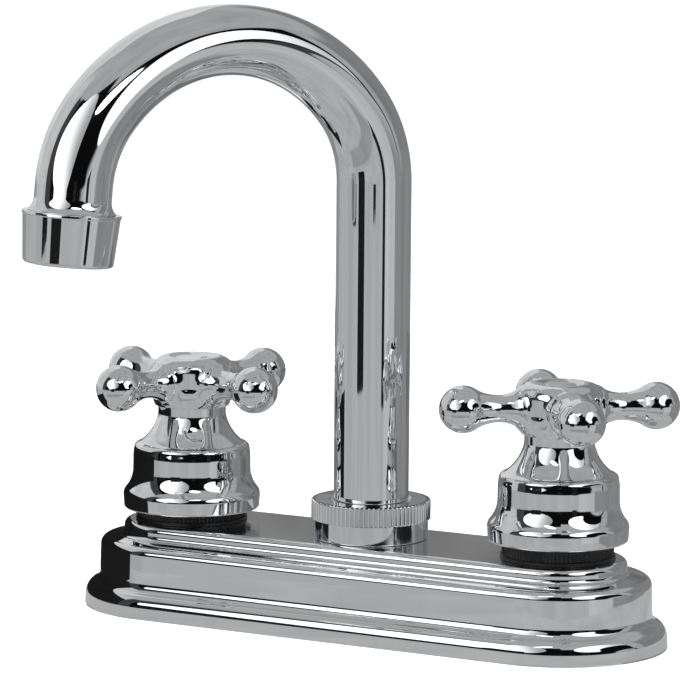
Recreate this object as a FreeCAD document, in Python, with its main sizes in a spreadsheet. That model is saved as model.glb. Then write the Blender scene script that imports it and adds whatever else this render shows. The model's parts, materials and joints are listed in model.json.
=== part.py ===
import FreeCAD, Part
import math
import os
import Sketcher

# A two-handle mixer tap for a sink deck, with a swivelling gooseneck spout.
# Row frame: origin on the deck at the middle of the tap, +Z up, +X towards the cold handle,
# -Y towards the user. The hot valve is shut and the cold valve is half a turn open.

SIZES = [
    # deck layout
    ("handle_spacing", 101.6, "between the two valve axes"),
    ("running_gap", 0.05, "radial gap of a shaft that turns in a bore"),
    ("thread_gap", 0.05, "radial gap where a screw thread is drawn plain"),
    ("lift_gap", 0.05, "gap between faces that must stay free to move"),
    # deck cover, measured outward from the line between the valves
    ("foot_radius", 26.7, "outer radius of the foot"),
    ("foot_edge", 1.9, "upright edge at the bottom"),
    ("foot_round", 1.3, "round above the upright edge"),
    ("foot_bead", 5.0, "radius of the swelling above it"),
    ("foot_height", 7.6, "height where the foot meets the wall"),
    ("foot_cove", 1.5, "hollow between foot and wall"),
    ("wall_radius", 22.7, "outer radius of the upright wall"),
    ("shoulder_height", 17.0, "height of the wall's shoulder"),
    ("shoulder_round", 2.0, "round of the shoulder"),
    ("ledge_rise", 0.7, "rise of the ledge inside the shoulder"),
    ("table_radius", 16.8, "outer radius of the raised table"),
    ("table_cove", 1.4, "hollow between ledge and table"),
    ("table_height", 21.4, "height of the table, the cover's top"),
    ("table_round", 1.7, "round of the table's edge"),
    ("cover_wall", 1.6, "thickness of the cover"),
    ("cover_top", 1.8, "thickness of the cover's top"),
    ("cover_hole_gap", 0.3, "gap round a neck that passes the cover"),
    # gasket between tap and deck
    ("gasket_thickness", 1.4, "thickness of the deck gasket"),
    ("gasket_gap", 0.3, "gap between gasket and cover"),
    ("shank_hole_gap", 0.8, "gap round a shank in the gasket"),
    # threaded shanks, screwed into the casting from below
    ("shank_radius", 10.4, "outside of the inlet thread"),
    ("shank_length", 45.0, "how far a shank reaches under the deck"),
    ("inlet_thread", 18.0, "length of the supply's thread at a shank's end"),
    ("inlet_chamfer", 1.0, "chamfer of the shank's end"),
    ("thread_relief", 1.5, "width of the groove above the supply's thread"),
    ("thread_relief_depth", 0.9, "depth of that groove"),
    ("inlet_bore", 6.0, "radius of the way in"),
    ("seat_bore", 5.0, "radius of the bore that takes the seat"),
    ("seat_bore_depth", 4.5, "depth of that bore below the chamber"),
    # waterway, one brass casting
    ("barrel_wall", 2.35, "wall of a valve barrel round the shank's thread"),
    ("flange_reach", 2.2, "how far the foot flange of a barrel stands out"),
    ("flange_thickness", 3.0, "thickness of that flange"),
    ("neck_radius", 11.0, "threaded neck above the cover"),
    ("neck_rise", 3.5, "how far that neck stands above the table"),
    ("chamber_radius", 8.6, "inside of a valve barrel"),
    ("chamber_floor", 5.0, "height of the chamber's floor"),
    ("crossover_height", 11.0, "height of the crossover's axis"),
    ("crossover_radius", 6.3, "outside of the crossover"),
    ("crossover_bore", 4.3, "inside of the crossover"),
    ("hub_wall", 3.0, "from the spout tube's outside to the outside of the spout hub's thread"),
    ("hub_shoulder", 1.3, "shoulder of the hub under the cover"),
    ("hub_bottom", 4.4, "underside of the spout hub"),
    ("hub_floor", 6.6, "floor inside the spout hub"),
    ("hub_rise", 6.6, "how far the hub stands above the table"),
    ("hub_recess", 2.5, "depth of the recess for the spout's collar"),
    # under the deck
    ("clamp_space", 12.5, "deck room above the shank washer"),
    ("shank_washer_radius", 17.0, "outside of the shank washer"),
    ("shank_washer_thickness", 1.5, "thickness of the shank washer"),
    ("wing_nut_radius", 14.5, "barrel of the mounting nut"),
    ("wing_nut_height", 9.0, "height of the mounting nut"),
    ("wing_reach", 23.0, "how far a wing reaches out"),
    ("wing_thickness", 3.2, "thickness of a wing"),
    ("wing_count", 4, "wings on a mounting nut"),
    # seat, washer and its swivelling holder
    ("seat_flange_radius", 6.2, "flange of the seat"),
    ("seat_way", 3.1, "radius of the way through the seat"),
    ("seat_lip_radius", 4.6, "outside of the raised lip"),
    ("seat_flange_thickness", 1.2, "thickness of the seat's flange"),
    ("seat_height", 1.95, "height of the seat's lip above the chamber's floor"),
    ("seat_tail_length", 4.0, "length of the seat's threaded tail"),
    ("seat_washer_radius", 5.5, "outside of the rubber washer"),
    ("seat_washer_thickness", 2.6, "thickness of the rubber washer"),
    ("washer_screw_head_radius", 2.6, "head of the washer's screw"),
    ("washer_screw_head", 1.4, "height of that head"),
    ("washer_screw_radius", 1.65, "shank of the washer's screw"),
    ("washer_screw_length", 5.0, "length of that shank"),
    ("holder_radius", 6.2, "outside of the washer's holder"),
    ("holder_skirt", 1.4, "how far the holder's rim laps the washer"),
    ("holder_web", 1.4, "thickness of the holder above the washer"),
    ("holder_stub_radius", 2.8, "stub that turns in the stem"),
    ("holder_stub_length", 3.0, "length of that stub"),
    # stem and bonnet
    ("stem_foot_radius", 4.6, "foot of the stem"),
    ("stem_foot_length", 4.9, "length of the stem's foot"),
    ("stem_thread_radius", 5.6, "lifting thread of the stem"),
    ("stem_thread_length", 5.5, "length of the lifting thread"),
    ("stem_radius", 4.0, "shaft of the stem"),
    ("stem_end_radius", 3.0, "end of the stem inside the handle"),
    ("stem_end_length", 12.5, "length of that end"),
    ("stem_ring_rise", 9.1, "height of the sealing ring's groove above the table"),
    ("stem_ring_groove", 2.0, "width of that groove"),
    ("stem_ring_depth", 1.0, "depth of that groove"),
    ("bonnet_depth", 5.9, "how far the bonnet reaches below the table"),
    ("bonnet_thread_room", 10.1, "depth of the bonnet's inner thread"),
    ("bonnet_washer_thickness", 0.8, "fibre washer under the bonnet"),
    ("bonnet_washer_radius", 10.6, "outside of the fibre washer"),
    ("bonnet_flats", 18.0, "across the bonnet's flats"),
    ("bonnet_hex_height", 4.5, "height of the bonnet's hexagon"),
    ("bonnet_neck_radius", 7.2, "upper neck of the bonnet"),
    ("bonnet_neck_height", 7.3, "height of that neck"),
    # black lock ring that holds the cover down
    ("lock_ring_wall", 2.5, "wall of the ring, out to the tips of its ribs"),
    ("lock_ring_lip", 0.4, "how far the smooth flange stands out"),
    ("lock_ring_flange_height", 0.9, "height of that flange"),
    ("lock_ring_height", 4.8, "height of the ring"),
    ("lock_ring_chamfer", 0.5, "chamfer of its top edge"),
    ("lock_rib_count", 82, "ribs round the ring"),
    ("lock_rib_depth", 0.3, "depth between the ribs"),
    # handle, heights measured from the skirt's lower edge
    ("handle_rise", 2.9, "from the table up to the skirt's edge when the valve is shut"),
    ("skirt_bore", 14.9, "inside of the skirt"),
    ("skirt_edge_radius", 16.75, "lower edge of the skirt's band"),
    ("skirt_edge_round", 0.6, "round of that edge"),
    ("skirt_radius", 17.05, "widest part, the top of the band"),
    ("skirt_band", 3.4, "height of the band"),
    ("skirt_round", 3.82, "round above the band"),
    ("skirt_turn_radius", 16.3, "where the skirt turns hollow"),
    ("skirt_turn", 5.6, "height of that turn"),
    ("skirt_hollow", 7.4, "radius of the hollow above"),
    ("drum_radius", 14.85, "foot of the drum"),
    ("drum_bottom", 10.0, "height of the drum's foot"),
    ("ridge_radius", 14.45, "shoulder ridge"),
    ("ridge_height", 15.1, "height of the ridge"),
    ("ridge_round", 1.2, "round of the ridge"),
    ("waist_hollow", 11.5, "radius of the hollow waist"),
    ("waist_radius", 8.45, "neck under the hub"),
    ("waist_height", 23.6, "height where the neck starts"),
    ("hub_underside", 25.8, "height of the hub's underside"),
    ("hub_under_step", 0.75, "step out from neck to hub"),
    ("handle_hub_radius", 9.9, "outside of the hub"),
    ("handle_hub_side", 31.0, "height where the hub is widest"),
    ("handle_hub_swell", 8.0, "radius of the hub's lower swell"),
    ("handle_hub_round", 3.4, "round of the hub's top"),
    ("handle_top", 38.1, "height of the hub's rim"),
    ("dish_radius", 5.9, "radius of the dished top"),
    ("dish_hollow", 5.0, "radius of the dish's curve"),
    ("dish_depth", 0.5, "depth of the dish at the button"),
    ("button_recess", 3.6, "depth of the recess for screw and button"),
    ("bell_wall", 2.0, "wall of the drum"),
    ("bell_shoulder", 14.2, "height where the inside starts to close in"),
    ("bell_roof_radius", 6.5, "radius of the roof inside"),
    ("bell_roof", 18.7, "height of that roof, which rests on the stem"),
    # arms
    ("arm_count", 4, "arms of a handle"),
    ("arm_height", 32.1, "height of the arms' axis"),
    ("arm_root", 7.0, "where an arm starts inside the hub"),
    ("arm_flare_start", 10.0, "where its flare begins"),
    ("arm_flare", 8.8, "radius of the flare towards the hub"),
    ("arm_root_taper", 0.5, "taper of the root inside the hub"),
    ("arm_neck", 15.0, "distance of the thinnest place from the axis"),
    ("arm_neck_radius", 3.3, "radius there"),
    ("knob_reach", 23.6, "distance of the knob's centre from the axis"),
    ("knob_radius", 5.75, "radius of the knob"),
    ("hot_arm_angle", -109.2, "direction of the hot handle's first arm"),
    ("cold_arm_angle", -52.0, "direction of the cold handle's first arm"),
    # handle screw and index button
    ("handle_screw_radius", 1.9, "shank of the handle screw"),
    ("handle_screw_length", 9.0, "length of that shank"),
    ("handle_screw_head_radius", 3.6, "head of the handle screw"),
    ("handle_screw_head", 2.2, "height of that head"),
    ("button_radius", 4.25, "index button"),
    ("button_gap", 0.05, "gap round the button"),
    ("button_thickness", 1.0, "thickness of the button's rim"),
    ("button_crown", 0.3, "swelling of its face"),
    # rising of the valve
    ("thread_lead", 2.54, "rise for one whole turn"),
    ("cold_turns_open", 0.5, "turns by which the cold valve stands open"),
    # spout
    ("spout_swing", 32.5, "angle of the spout from straight ahead"),
    ("tube_radius", 9.2, "outside of the spout tube"),
    ("tube_wall", 1.2, "wall of the spout tube"),
    ("collar_height", 1.5, "height of the collar that carries the tube"),
    ("post_height", 87.4, "from the table up to where the arch begins"),
    ("arch_width", 80.7, "width of the arch between tube axes"),
    ("arch_rise", 35.6, "rise of the arch's axis"),
    ("arch_side_drop", 4.6, "how much the side bends are tighter than the rise"),
    ("outlet_tilt", 5.0, "outward lean of the outlet"),
    ("outlet_straight", 3.0, "straight end before the flare"),
    ("flare_length", 3.0, "length of the flare"),
    ("flare_rise", 1.3, "how far the tube flares out at the aerator"),
    ("outlet_thread_rise", 0.9, "how far the aerator's thread stands out from the tube"),
    ("outlet_thread_length", 5.5, "length of that thread"),
    ("fitting_depth", 3.9, "how far the spout fitting reaches below the table"),
    ("fitting_wall", 2.0, "wall of the fitting's spigot"),
    ("collar_step", 1.55, "how far the collar stands out from the tube"),
    ("fitting_spigot", 6.0, "length of the spigot inside the tube"),
    ("brazing_gap", 0.03, "gap of the brazed joint"),
    ("o_ring_groove", 1.8, "width of an O-ring groove"),
    ("o_ring_depth", 1.5, "depth of an O-ring groove"),
    ("o_ring_first", 1.0, "from the fitting's end to the first groove"),
    ("o_ring_step", 3.3, "from the first groove to the second"),
    ("o_ring_gap", 0.02, "gap between an O-ring and what it slides on"),
    # spout nut and bushing
    ("nut_gap", 0.3, "gap between the nut and the table"),
    ("nut_wall", 1.85, "wall of the nut's smooth skirt"),
    ("nut_skirt_height", 4.7, "height of that skirt"),
    ("nut_rim_step", 0.6, "how far the ribbed rim stands out from the skirt"),
    ("nut_height", 9.5, "height of the nut"),
    ("nut_hole_gap", 0.75, "gap between the tube and the nut's top"),
    ("nut_top_thickness", 1.2, "thickness of the nut's top"),
    ("nut_edge", 0.3, "chamfer of the nut's edges"),
    ("nut_rib_count", 76, "ribs round the nut"),
    ("nut_rib_depth", 0.35, "depth between the ribs"),
    ("bushing_wall", 1.65, "wall of the nylon bushing"),
    # aerator
    ("housing_overhang", 1.3, "how far the aerator housing's lip stands out from the flare"),
    ("housing_lip", 0.8, "height of that lip"),
    ("housing_step", 0.2, "step below the lip"),
    ("housing_taper", 1.0, "how much narrower the housing's lower end is than its lip"),
    ("housing_length", 12.4, "length of the housing"),
    ("housing_round", 1.0, "round of its lower edge"),
    ("housing_ledge_width", 1.15, "width of the inner ledge that holds the insert"),
    ("aerator_washer_thickness", 1.4, "rubber washer of the aerator"),
    ("insert_flange", 1.8, "thickness of the insert's flange"),
    ("insert_length", 4.8, "length of the insert"),
    ("insert_wall", 1.2, "wall of the insert"),
    ("insert_plate", 1.2, "thickness of its perforated plate"),
    ("insert_hole_radius", 1.1, "hole in that plate"),
    ("insert_hole_count", 8, "holes round the plate"),
]

doc = FreeCAD.newDocument("mixer_tap")
sheet = doc.addObject("Spreadsheet::Sheet", "Sizes")


class Size:
    """A length or angle that carries both its number and the expression it comes from."""

    def __init__(self, number, text):
        self.number = float(number)
        self.text = text

    def __add__(self, other):
        other = as_size(other)
        return Size(self.number + other.number, "(%s + %s)" % (self.text, other.text))

    def __sub__(self, other):
        other = as_size(other)
        return Size(self.number - other.number, "(%s - %s)" % (self.text, other.text))

    def __rsub__(self, other):
        return as_size(other) - self

    def __mul__(self, other):
        other = as_size(other)
        return Size(self.number * other.number, "(%s * %s)" % (self.text, other.text))

    def __truediv__(self, other):
        other = as_size(other)
        return Size(self.number / other.number, "(%s / %s)" % (self.text, other.text))

    def __neg__(self):
        return Size(-self.number, "(-%s)" % self.text)

    __radd__ = __add__
    __rmul__ = __mul__


def as_size(value):
    if isinstance(value, Size):
        return value
    return Size(value, repr(value))


def root(size):
    return Size(math.sqrt(size.number), "sqrt(%s)" % size.text)


def sine(size):
    return Size(math.sin(math.radians(size.number)), "sin(%s)" % size.text)


def cosine(size):
    return Size(math.cos(math.radians(size.number)), "cos(%s)" % size.text)


class SheetSizes:
    """Every cell of the sheet as an attribute, so sizes.tube_radius is a Size."""


sizes = SheetSizes()
for row, (alias, value, meaning) in enumerate(SIZES, start=1):
    sheet.set("A%d" % row, meaning)
    sheet.set("B%d" % row, str(value))
    sheet.setAlias("B%d" % row, alias)
    setattr(sizes, alias, Size(value, "Sizes." + alias))
doc.recompute()

ZERO = as_size(0)
HALF_TURN = 180
FULL_TURN = 360
HEXAGON_SIDES = 6


def bind(item, name, value):
    """Ties one property to the sheet."""
    item.setExpression(name, as_size(value).text)


def new_body(label, x=0, y=0, z=0, yaw=0, pitch=0):
    """A body whose own frame sits at x, y, z, tipped by pitch and then turned by yaw."""
    body = doc.addObject("PartDesign::Body", label)
    body.Label = label
    texts = tuple(as_size(value).text for value in (x, y, z, yaw, pitch))
    body.setExpression("Placement", "placement(vector(%s; %s; %s); rotation(%s; %s; 0))" % texts)
    return body


def arc_through(start, end, radius):
    """The smaller arc from start to end; a positive radius bends it to the left of the way."""
    chord = end - start
    half = chord.Length / 2
    across = FreeCAD.Vector(-chord.y, chord.x, 0).normalize()
    reach = math.sqrt(max(radius * radius - half * half, 0))
    side = -1 if radius > 0 else 1
    centre = (start + end) / 2 - across * side * reach
    circle = Part.Circle(centre, FreeCAD.Vector(0, 0, 1), abs(radius))
    first, last = (start, end) if radius > 0 else (end, start)
    return Part.ArcOfCircle(circle, circle.parameter(first), circle.parameter(last))


def new_sketch(body, name, plane="XZ_Plane", offset=None, tilt=None):
    """A sketch on one of the body's origin planes, shifted and tilted in the plane's frame."""
    sketch = body.newObject("Sketcher::SketchObject", body.Label + "_" + name)
    support = [item for item in body.Origin.OriginFeatures if item.Role == plane][0]
    sketch.AttachmentSupport = (support, [""])
    sketch.MapMode = "FlatFace"
    if offset is not None or tilt is not None:
        x, y, z = (as_size(value).text for value in (offset or (0, 0, 0)))
        angle = as_size(tilt or 0).text
        text = "placement(vector(%s; %s; %s); rotation(%s; 0; 0))" % (x, y, z, angle)
        sketch.setExpression("AttachmentOffset", text)
    return sketch


def pin_vertex(sketch, edge, vertex, x, y):
    """Holds one vertex of an edge at the distances x and y from the sketch's origin."""
    for kind, value, axis in (("DistanceX", x, -2), ("DistanceY", y, -1)):
        if value.text == ZERO.text:
            sketch.addConstraint(Sketcher.Constraint("PointOnObject", edge, vertex, axis))
            continue
        index = sketch.addConstraint(Sketcher.Constraint(kind, -1, 1, edge, vertex, value.number))
        sketch.setExpression("Constraints[%d]" % index, value.text)


def draw_outline(sketch, points, closed=True):
    """Lines and arcs from point to point; a third value is the radius of the edge to that point."""
    points = [(as_size(point[0]), as_size(point[1])) + tuple(point[2:]) for point in points]
    places = [FreeCAD.Vector(point[0].number, point[1].number, 0) for point in points]
    count = len(points) if closed else len(points) - 1
    joints = []
    for index in range(count):
        after = (index + 1) % len(points)
        radius = points[after][2] if len(points[after]) > 2 else None
        if radius is None:
            edge = sketch.addGeometry(Part.LineSegment(places[index], places[after]))
            joints.append((edge, 1, 2))
            continue
        radius = as_size(radius)
        arc = arc_through(places[index], places[after], radius.number)
        edge = sketch.addGeometry(arc)
        held = sketch.addConstraint(Sketcher.Constraint("Radius", edge, abs(radius.number)))
        text = radius.text if radius.number > 0 else (-radius).text
        sketch.setExpression("Constraints[%d]" % held, text)
        joints.append((edge, 1, 2) if radius.number > 0 else (edge, 2, 1))
    for index in range(count if closed else count - 1):
        edge, _, end = joints[index]
        following, start, _ = joints[(index + 1) % count]
        sketch.addConstraint(Sketcher.Constraint("Coincident", edge, end, following, start))
    for index in range(count):
        edge, start, _ = joints[index]
        pin_vertex(sketch, edge, start, points[index][0], points[index][1])
    if not closed:
        edge, _, end = joints[-1]
        pin_vertex(sketch, edge, end, points[-1][0], points[-1][1])
    return sketch


def draw_circle(sketch, radius, x=0, y=0):
    radius = as_size(radius)
    x = as_size(x)
    y = as_size(y)
    centre = FreeCAD.Vector(x.number, y.number, 0)
    up = FreeCAD.Vector(0, 0, 1)
    edge = sketch.addGeometry(Part.Circle(centre, up, radius.number))
    held = sketch.addConstraint(Sketcher.Constraint("Radius", edge, radius.number))
    sketch.setExpression("Constraints[%d]" % held, radius.text)
    pin_vertex(sketch, edge, 3, x, y)
    return sketch


def add_feature(body, kind, name, sketch):
    feature = body.newObject("PartDesign::" + kind, body.Label + "_" + name)
    feature.Profile = sketch
    return feature


def turn(body, name, points, kind="Revolution", offset=None, tilt=None):
    """Turns an outline of (radius, height) points about the upright axis of its sketch."""
    sketch = draw_outline(new_sketch(body, name + "_outline", "XZ_Plane", offset, tilt), points)
    feature = add_feature(body, kind, name, sketch)
    feature.ReferenceAxis = (sketch, ["V_Axis"])
    feature.Angle = FULL_TURN
    return settle(body, feature, kind)


def extrude(body, name, sketch, length, kind="Pad", both_ways=False, reverse=False):
    """Pads or pockets a drawn sketch by a length."""
    feature = add_feature(body, kind, name, sketch)
    feature.SideType = "Symmetric" if both_ways else "One side"
    feature.Reversed = reverse
    bind(feature, "Length", length)
    return settle(body, feature, kind)


def settle(body, feature, kind):
    """Builds the feature and makes sure that one which cuts has taken material away."""
    before = body.Tip.BaseFeature.Shape.Volume if feature.BaseFeature else 0
    doc.recompute()
    if kind in ("Groove", "Pocket", "SubtractivePipe") and feature.Shape.Volume >= before - 1e-6:
        raise RuntimeError(feature.Label + " cuts nothing")
    return feature


def repeat_round(body, feature, count, name):
    """Repeats a feature evenly round the body's upright axis."""
    pattern = body.newObject("PartDesign::PolarPattern", body.Label + "_" + name)
    pattern.Originals = [feature]
    axis = [item for item in body.Origin.OriginFeatures if item.Role == "Z_Axis"][0]
    pattern.Axis = (axis, [""])
    pattern.Angle = FULL_TURN
    bind(pattern, "Occurrences", count)
    body.Tip = pattern
    doc.recompute()
    return pattern


def mirror(body, features, plane, name):
    """Repeats features on the other side of one of the body's origin planes."""
    copy = body.newObject("PartDesign::Mirrored", body.Label + "_" + name)
    copy.Originals = features
    support = [item for item in body.Origin.OriginFeatures if item.Role == plane][0]
    copy.MirrorPlane = (support, [""])
    body.Tip = copy
    doc.recompute()
    return copy


half_spacing = sizes.handle_spacing / 2
cover_inside = sizes.table_height - sizes.cover_top
neck_top = sizes.table_height + sizes.neck_rise
spout_yaw = -90 - sizes.spout_swing
cold_rise = sizes.thread_lead * sizes.cold_turns_open
handle_bottom = sizes.table_height + sizes.handle_rise
stem_shoulder = handle_bottom + sizes.bell_roof

tube_bore = sizes.tube_radius - sizes.tube_wall
hub_bore = sizes.tube_radius + sizes.running_gap
hub_top = sizes.table_height + sizes.hub_rise
hub_thread = sizes.tube_radius + sizes.hub_wall
tube_foot = hub_top - sizes.hub_recess + sizes.lift_gap + sizes.collar_height
collar = sizes.tube_radius + sizes.collar_step
bushing = sizes.tube_radius + sizes.bushing_wall
nut_bottom = sizes.table_height + sizes.nut_gap
arch_start = sizes.table_height + sizes.post_height
flare = sizes.tube_radius + sizes.flare_rise
outlet_thread = sizes.tube_radius + sizes.outlet_thread_rise


# Deck cover: a tiered shell, the same outline carried along both sides and round both ends.

def cover_outline():
    """The cover's outside from the foot up to the table, then down its middle."""
    foot_top = sizes.foot_edge + sizes.foot_round
    ledge_top = sizes.shoulder_height + sizes.ledge_rise
    table_side = sizes.table_height - sizes.table_round
    return [
        (ZERO, ZERO),
        (sizes.foot_radius, ZERO),
        (sizes.foot_radius, sizes.foot_edge),
        (sizes.foot_radius - sizes.foot_round, foot_top, sizes.foot_round),
        (sizes.wall_radius + sizes.foot_cove, sizes.foot_height - sizes.foot_cove, sizes.foot_bead),
        (sizes.wall_radius, sizes.foot_height, -sizes.foot_cove),
        (sizes.wall_radius, sizes.shoulder_height - sizes.shoulder_round),
        (sizes.wall_radius - sizes.shoulder_round, sizes.shoulder_height, sizes.shoulder_round),
        (sizes.table_radius + sizes.table_cove, ledge_top),
        (sizes.table_radius, ledge_top + sizes.table_cove, -sizes.table_cove),
        (sizes.table_radius, table_side),
        (sizes.table_radius - sizes.table_round, sizes.table_height, sizes.table_round),
        (ZERO, sizes.table_height),
    ]


def cover_cavity():
    """The cover's inside, open at the bottom."""
    foot_inside = sizes.foot_radius - sizes.cover_wall
    wall_inside = sizes.wall_radius - sizes.cover_wall
    table_inside = sizes.table_radius - sizes.cover_wall
    ledge_inside = sizes.shoulder_height - sizes.cover_wall
    return [
        (ZERO, ZERO),
        (foot_inside, ZERO),
        (foot_inside, sizes.gasket_thickness + sizes.lift_gap),
        (wall_inside, sizes.foot_height - sizes.cover_wall),
        (wall_inside, ledge_inside - sizes.shoulder_round / 2),
        (wall_inside - sizes.shoulder_round / 2, ledge_inside),
        (table_inside, ledge_inside),
        (table_inside, cover_inside),
        (ZERO, cover_inside),
    ]


def carry_round(body, name, points, straight, round_end):
    """Carries an outline along both sides of the cover and round its two ends."""
    profile = draw_outline(new_sketch(body, name + "_side", "YZ_Plane"), points)
    side = extrude(body, name + "_side_run", profile, sizes.handle_spacing, straight, both_ways=True)
    mirror(body, [side], "XZ_Plane", name + "_other_side")
    profile = new_sketch(body, name + "_end", "YZ_Plane", offset=(0, 0, half_spacing))
    end = add_feature(body, round_end, name + "_end_turn", draw_outline(profile, points))
    end.ReferenceAxis = (profile, ["V_Axis"])
    end.Angle = HALF_TURN
    end.Reversed = True
    settle(body, end, round_end)
    mirror(body, [end], "YZ_Plane", name + "_other_end")


def make_cover():
    body = new_body("deck_cover")
    carry_round(body, "tiers", cover_outline(), "Pad", "Revolution")
    carry_round(body, "inside", cover_cavity(), "Pocket", "Groove")
    holes = new_sketch(body, "neck_holes", "XY_Plane", offset=(0, 0, cover_inside - sizes.lift_gap))
    for side in (-1, 1):
        draw_circle(holes, sizes.neck_radius + sizes.cover_hole_gap, half_spacing * side)
    draw_circle(holes, hub_thread + sizes.cover_hole_gap)
    extrude(body, "neck_holes_cut", holes, sizes.cover_top * 2, "Pocket", reverse=True)


def draw_stadium(sketch, radius):
    """A slot shape round the two valve axes: straight sides joined by two half circles."""
    draw_outline(sketch, [
        (-half_spacing, -radius, radius),
        (half_spacing, -radius),
        (half_spacing + radius, ZERO, radius),
        (half_spacing, radius, radius),
        (-half_spacing, radius),
        (-half_spacing - radius, ZERO, radius),
    ])


def make_gasket():
    body = new_body("deck_gasket")
    plate = new_sketch(body, "plate", "XY_Plane")
    draw_stadium(plate, sizes.foot_radius - sizes.cover_wall - sizes.gasket_gap)
    for side in (-1, 1):
        draw_circle(plate, sizes.shank_radius + sizes.shank_hole_gap, half_spacing * side)
    extrude(body, "plate_run", plate, sizes.gasket_thickness)


# Shanks: threaded brass tubes whose upper ends are the floors of the valve chambers.

def make_shank(side, x):
    body = new_body(side + "_shank", x)
    bottom = -sizes.shank_length
    relief_radius = sizes.shank_radius - sizes.thread_relief_depth
    relief_bottom = bottom + sizes.inlet_thread
    relief_top = relief_bottom + sizes.thread_relief
    seat_bottom = sizes.chamber_floor - sizes.seat_bore_depth
    turn(body, "tube", [
        (sizes.inlet_bore, bottom),
        (sizes.shank_radius - sizes.inlet_chamfer, bottom),
        (sizes.shank_radius, bottom + sizes.inlet_chamfer),
        (sizes.shank_radius, relief_bottom),
        (relief_radius, relief_bottom),
        (relief_radius, relief_top),
        (sizes.shank_radius, relief_top),
        (sizes.shank_radius, sizes.chamber_floor),
        (sizes.seat_bore, sizes.chamber_floor),
        (sizes.seat_bore, seat_bottom),
        (sizes.inlet_bore, seat_bottom),
    ])


# Waterway: two valve barrels, a crossover and the hub that takes the spout.

def make_waterway():
    body = new_body("waterway")
    flange_bottom = sizes.gasket_thickness
    flange_top = flange_bottom + sizes.flange_thickness
    socket = sizes.shank_radius + sizes.thread_gap
    socket_top = sizes.chamber_floor + sizes.lift_gap
    barrel_radius = socket + sizes.barrel_wall
    flange_radius = barrel_radius + sizes.flange_reach
    barrel = turn(body, "barrel", [
        (ZERO, flange_bottom),
        (flange_radius, flange_bottom),
        (flange_radius, flange_top),
        (barrel_radius, flange_top),
        (barrel_radius, cover_inside),
        (sizes.neck_radius, cover_inside),
        (sizes.neck_radius, neck_top),
        (ZERO, neck_top),
    ], offset=(half_spacing, 0, 0))
    mirror(body, [barrel], "YZ_Plane", "other_barrel")
    turn(body, "spout_hub", [
        (ZERO, sizes.hub_bottom),
        (hub_thread + sizes.hub_shoulder, sizes.hub_bottom),
        (hub_thread + sizes.hub_shoulder, cover_inside),
        (hub_thread, cover_inside),
        (hub_thread, hub_top),
        (ZERO, hub_top),
    ])
    crossover = new_sketch(body, "crossover", "YZ_Plane")
    draw_circle(crossover, sizes.crossover_radius, 0, sizes.crossover_height)
    extrude(body, "crossover_run", crossover, sizes.handle_spacing - sizes.chamber_radius, both_ways=True)
    chamber = turn(body, "chamber", [
        (ZERO, flange_bottom),
        (socket, flange_bottom),
        (socket, socket_top),
        (sizes.chamber_radius, socket_top),
        (sizes.chamber_radius, neck_top),
        (ZERO, neck_top),
    ], "Groove", offset=(half_spacing, 0, 0))
    mirror(body, [chamber], "YZ_Plane", "other_chamber")
    recess_bottom = hub_top - sizes.hub_recess
    recess_radius = collar + sizes.running_gap * 2
    turn(body, "hub_bore", [
        (ZERO, sizes.hub_floor),
        (hub_bore, sizes.hub_floor),
        (hub_bore, recess_bottom),
        (recess_radius, recess_bottom),
        (recess_radius, hub_top),
        (ZERO, hub_top),
    ], "Groove")
    way = new_sketch(body, "crossover_way", "YZ_Plane")
    draw_circle(way, sizes.crossover_bore, 0, sizes.crossover_height)
    extrude(body, "crossover_bore", way, sizes.handle_spacing - sizes.chamber_radius, "Pocket", both_ways=True)


# Under the deck: a steel washer and a plastic wing nut on each shank.

def make_shank_washer(side, x):
    body = new_body(side + "_shank_washer", x, 0, -sizes.clamp_space)
    inside = sizes.shank_radius + sizes.thread_gap
    turn(body, "disc", [
        (inside, -sizes.shank_washer_thickness),
        (sizes.shank_washer_radius, -sizes.shank_washer_thickness),
        (sizes.shank_washer_radius, ZERO),
        (inside, ZERO),
    ])


def make_mounting_nut(side, x):
    body = new_body(side + "_mounting_nut", x, 0, -sizes.clamp_space - sizes.shank_washer_thickness)
    inside = sizes.shank_radius + sizes.thread_gap
    bottom = -sizes.wing_nut_height
    turn(body, "barrel", [
        (inside, bottom),
        (sizes.wing_nut_radius, bottom),
        (sizes.wing_nut_radius, ZERO),
        (inside, ZERO),
    ])
    middle = (inside + sizes.wing_nut_radius) / 2
    wing = new_sketch(body, "wing", "XZ_Plane")
    draw_outline(wing, [
        (middle, bottom),
        (sizes.wing_reach, bottom),
        (sizes.wing_reach, bottom / 2),
        (middle, ZERO),
    ])
    one_wing = extrude(body, "wing_run", wing, sizes.wing_thickness, both_ways=True)
    repeat_round(body, one_wing, sizes.wing_count, "wings")


# Valve: seat, swivelling washer and holder, stem and bonnet. Heights are for a shut valve.

washer_bottom = sizes.chamber_floor + sizes.seat_height + sizes.lift_gap
washer_top = washer_bottom + sizes.seat_washer_thickness
holder_top = washer_top + sizes.holder_web
stem_bottom = holder_top + sizes.lift_gap
bonnet_bottom = sizes.table_height - sizes.bonnet_depth
bonnet_seat = neck_top + sizes.bonnet_washer_thickness
bonnet_bore = sizes.stem_radius + sizes.running_gap
screw_seat = handle_bottom + sizes.handle_top - sizes.button_recess


def make_valve_seat(side, x):
    body = new_body(side + "_valve_seat", x, 0, sizes.chamber_floor)
    tail = sizes.seat_bore - sizes.thread_gap
    turn(body, "seat", [
        (sizes.seat_way, -sizes.seat_tail_length),
        (tail, -sizes.seat_tail_length),
        (tail, ZERO),
        (sizes.seat_flange_radius, ZERO),
        (sizes.seat_flange_radius, sizes.seat_flange_thickness),
        (sizes.seat_lip_radius, sizes.seat_flange_thickness),
        (sizes.seat_lip_radius, sizes.seat_height),
        (sizes.seat_way, sizes.seat_height),
    ])


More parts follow.
